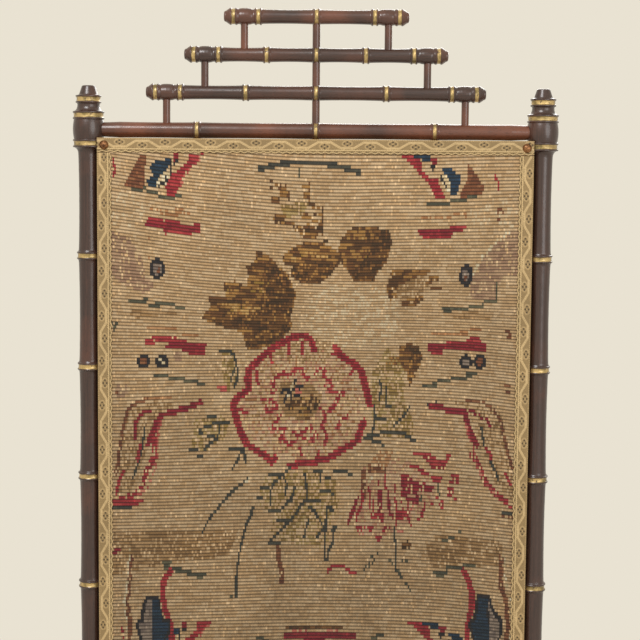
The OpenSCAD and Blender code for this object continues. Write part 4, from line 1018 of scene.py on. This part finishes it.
# Gimp braid: a flat band with a selvedge cord, a zigzag of doubled cord with eyelet flowers in
# its bays, and two cords along the inner side, the last one scalloped
braid = {
    "step": 0.8 * mm,
    "flowers": 28.8 * mm,
    "zigzagHigh": 3.9 * mm,
    "zigzagLow": 11.2 * mm,
    "leg": 12.5 * mm,
    "flowerHigh": 5.4 * mm,
    "flowerLow": 9.1 * mm,
    "eyeAlong": 3.9 * mm,
    "eyeAcross": 2.2 * mm,
    "eyeRadius": 1.0 * mm,
    "innerCord": 13.9 * mm,
    "scallopCord": 17.1 * mm,
    "scallop": 0.75 * mm,
    "scallopPitch": 9.7 * mm,
    # bright is a painted highlight on the raised cords, recessShade painted shade in the low weave, and
    # eye painted shade in the eyelet holes
    "bright": "CDAF7C",
    "body": "A78A5C",
    "recessShade": "6B5632",
    "eye": "3A2C17",
}


def ridge(distance, radius):
    return np.sqrt(np.clip(1 - (distance / radius) ** 2, 0, 1))


# Relief and tint of the braid at s along and t across, both in metres
def braidRelief(s, t):
    pitch = braid["flowers"]
    bay = np.abs((s / pitch) % 2 - 1)
    legShare = np.clip((bay - 0.5) * pitch / braid["leg"] + 0.5, 0, 1)
    zigzag = braid["zigzagLow"] + (braid["zigzagHigh"] - braid["zigzagLow"]) * legShare
    slope = np.where((legShare > 0) & (legShare < 1), 0.86, 1.0)
    off = np.abs(t - zigzag) * slope
    cords = ridge(off - 0.75 * mm, 0.8 * mm)
    inBay = (s / pitch + 0.5) % 1 - 0.5
    low = np.round(s / pitch).astype(int) % 2 == 1
    centre = np.where(low, braid["flowerHigh"], braid["flowerLow"])
    along, over = inBay * pitch, t - centre
    eye = np.full(s.shape, 9.0)
    for a, b in ((1, 0), (-1, 0), (0, 1), (0, -1)):
        away = np.hypot(along - a * braid["eyeAlong"], over - b * braid["eyeAcross"])
        eye = np.minimum(eye, away / braid["eyeRadius"])
    petal = np.hypot(along / 1.6, over)
    petals = ridge(petal - 3.7 * mm, 0.9 * mm) * 0.8
    heart = ridge(petal, 0.9 * mm)
    twill = 0.5 + 0.5 * np.sin(tau * (s + t * np.where(low, 0.9, -0.9)) / (1.9 * mm))
    selvedge = ridge(t - 0.9 * mm, 1.0 * mm) * (0.75 + 0.25 * np.sin(tau * s / (2.4 * mm)))
    twist = 0.78 + 0.22 * np.sin(tau * (s + 0.8 * t) / (2.8 * mm))
    inner = ridge(t - braid["innerCord"], 1.15 * mm) * twist
    wave = braid["scallopCord"] + braid["scallop"] * np.sin(tau * s / braid["scallopPitch"])
    scallop = ridge(t - wave, 1.0 * mm) * twist
    tie = ridge((s % (3.1 * mm)) - 1.55 * mm, 0.7 * mm) * ((t > braid["innerCord"]) & (t < wave))
    height = 0.95 + 0.12 * twill
    height = np.maximum(height, 0.95 + 0.45 * cords * (t > 2 * mm) * (t < 12.4 * mm))
    height = np.maximum(height, 0.95 + 0.32 * np.maximum(petals, heart) * (t < 12.4 * mm))
    height = np.where(eye < 1, 0.5 + 0.4 * eye, height)
    height = np.where(t > 12.6 * mm, 0.75 + 0.25 * tie, height)
    height = np.maximum(height, 0.6 + 0.75 * selvedge)
    height = np.maximum(height, 0.6 + 1.3 * inner)
    height = np.maximum(height, 0.6 + 1.2 * scallop)
    raised = np.clip((height - 0.85) / 0.55, 0, 1)
    # the third value is the painted shade in the eyelet holes
    return height * mm, raised, np.clip(1.6 - eye, 0, 1) * (t < 12.4 * mm), wave + 0.95 * mm


def buildBraid(node):
    low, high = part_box(node)
    lies = high.x - low.x > high.z - low.z
    length = (high.x - low.x) if lies else (high.z - low.z)
    wide = (high.z - low.z) if lies else (high.x - low.x)
    along = np.linspace(0, length, int(length / braid["step"]) + 1)
    across = np.linspace(0, 1, 27)
    s, share = np.meshgrid(along, across, indexing="ij")
    start = 0.0 if lies else 7 * mm
    edge = braidRelief(s + start, share * 0)[3]
    t = share * edge * wide / (19 * mm)
    height, raised, eyeShade, _ = braidRelief(s + start, t)
    worn = np.random.default_rng(len(node)).random(s.shape)
    # the two edges and the two ends come down to the canvas
    height = np.where((share == 0) | (share == 1), 0.0, height + 0.06 * mm * worn)
    height = np.where((s == 0) | (s == length), 0.0, height)
    y = high.y - height
    if node == "braid_top":
        x, z = low.x + s, high.z - t
    elif node == "braid_bottom":
        x, z = high.x - s, low.z + t
    elif node == "braid_left":
        x, z = low.x + t, low.z + s
    else:
        x, z = high.x - t, high.z - s
    points = np.stack([x, y, z], -1).reshape(-1, 3)
    rows, columns = s.shape
    faces = gridFaces(rows, columns)[:, ::-1]
    made = sheetMesh(node + "_gimp", points, faces)
    # painted light: tint runs from painted shade in the low weave to a painted highlight on the raised
    # cords, and the eyelet holes are painted dark as shade
    shades = [np.array(toLinear(braid[k])[:3]) for k in ("recessShade", "body", "bright", "eye")]
    paintedLightShare = raised[..., None]
    tint = np.where(paintedLightShare < 0.5, shades[0] + (shades[1] - shades[0]) * paintedLightShare * 2,
                    shades[1] + (shades[2] - shades[1]) * (paintedLightShare * 2 - 1))
    tint = tint + (shades[3] - tint) * eyeShade[..., None]
    tint = tint * (0.86 + 0.28 * worn)[..., None]
    tint = tint * (0.92 + 0.2 * smoothNoise(s * 1000, t * 1000 + 300, 34, 8))[..., None]
    colours = np.concatenate([tint, np.ones(tint.shape[:2] + (1,))], -1).reshape(-1, 4)
    attribute = made.data.attributes.new("thread", "FLOAT_COLOR", "POINT")
    attribute.data.foreach_set("color", colours.astype(np.float32).ravel())
    place = np.stack([s, t], -1).reshape(-1, 2)[faces.ravel()] * 1000
    addMap(made, "strip", place)
    return made


# Woven cotton and silk gimp: soft lustre on the raised cords, dust in the weave
def gimpThread():
    material, tree = newMaterial("wovenGimpBraid")
    thread = addNode(tree, "Attribute", attribute_name="thread")
    place = addNode(tree, "UVMap", uv_map="strip")
    weave = addNode(tree, "TexNoise", {"Vector": place.outputs[0], "Scale": 1.6, "Detail": 2.0})
    shade = addNode(tree, "MapRange", {"Value": weave.outputs[0], "From Min": 0.3, "From Max": 0.7,
                                       "To Min": 0.8, "To Max": 1.15})
    colour = darkened(tree, thread.outputs["Color"], shade.outputs[0])
    bump = addNode(tree, "Bump", {"Height": weave.outputs[0], "Strength": 0.6, "Distance": 0.2 * mm})
    finishMaterial(tree, {"Base Color": colour, "Roughness": 0.7,
                          "Sheen Weight": 0.1, "Normal": bump.outputs[0]})
    return material


gimp = gimpThread()
for node in ("braid_top", "braid_bottom", "braid_left", "braid_right"):
    strip = buildBraid(node)
    strip.data.materials.append(gimp)
    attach(strip, "root")
    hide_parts(node)
print("braid nailed down")


# Backing cloth: brown linen tacked over the back, drawn into shallow scallops between the tacks
backing = {
    "cell": 6 * mm,
    "hem": 9 * mm,
    "scallop": 1.6 * mm,
    "billow": 0.5 * mm,
    "weave": 1.1 * mm,
}


def buildBacking():
    low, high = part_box("backing_cloth")
    width, height = high.x - low.x, high.z - low.z
    columns, rows = int(width / backing["cell"]), int(height / backing["cell"])
    v, u = np.meshgrid(np.linspace(0, 1, rows + 1), np.linspace(0, 1, columns + 1), indexing="ij")
    edgeX = np.minimum(u, 1 - u) * width
    edgeZ = np.minimum(v, 1 - v) * height
    pull = backing["scallop"] * np.abs(np.sin(math.pi * u * 5)) * np.exp(-edgeZ / (20 * mm))
    side = backing["scallop"] * np.abs(np.sin(math.pi * v * 7)) * np.exp(-edgeX / (20 * mm))
    x = low.x + u * width + np.where(u < 0.5, 1, -1) * side
    z = low.z + v * height + np.where(v < 0.5, 1, -1) * pull
    edge = np.minimum(edgeX, edgeZ)
    y = low.y + 0.25 * mm + backing["billow"] * (0.4 + 0.6 * smoothNoise(u * 9, v * 12, 1.0, 6))
    y = np.where(edge < backing["hem"], high.y - 0.05 * mm, y)
    points = np.stack([x, y, z], -1).reshape(-1, 3)
    made = sheetMesh("backing_linen", points, gridFaces(rows + 1, columns + 1))
    place = np.stack([u * width, v * height], -1).reshape(-1, 2) / backing["weave"]
    order = gridFaces(rows + 1, columns + 1).ravel()
    addMap(made, "weave", place[order])
    return made, width, height


# Plain woven linen, unbleached and gone brown: an even over-and-under weave with slubs
def plainLinen():
    material, tree = newMaterial("plainWovenLinen")
    place = addNode(tree, "UVMap", uv_map="weave")
    spread = addNode(tree, "SeparateXYZ", {0: place.outputs[0]})
    warp = addNode(tree, "Math", {0: spread.outputs["X"], 1: 0.5}, operation="PINGPONG")
    weft = addNode(tree, "Math", {0: spread.outputs["Y"], 1: 0.5}, operation="PINGPONG")
    cross = addNode(tree, "Math", {0: warp.outputs[0], 1: weft.outputs[0]}, operation="ADD")
    coords = addNode(tree, "TexCoord")
    slub = addNode(tree, "TexNoise", {"Vector": coords.outputs["Object"], "Scale": 1 / (12 * mm),
                                      "Detail": 5.0, "Roughness": 0.6})
    tone = addNode(tree, "MapRange", {"Value": slub.outputs[0], "From Min": 0.35, "From Max": 0.68})
    colour = addNode(tree, "Mix", {0: tone.outputs[0], 6: "7E7058", 7: "A2927A"}, data_type="RGBA")
    shade = addNode(tree, "MapRange", {"Value": cross.outputs[0], "From Max": 0.9, "To Min": 0.72,
                                       "To Max": 1.05})
    colour = darkened(tree, colour.outputs[2], shade.outputs[0])
    bump = addNode(tree, "Bump", {"Height": cross.outputs[0], "Strength": 0.7, "Distance": 0.3 * mm})
    finishMaterial(tree, {"Base Color": colour, "Roughness": 0.85,
                          "Sheen Weight": 0.08, "Normal": bump.outputs[0]})
    return material


linen, linenWidth, linenHeight = buildBacking()
linen.data.materials.append(plainLinen())
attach(linen, "root")
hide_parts("backing_cloth")
print("backing tacked on")
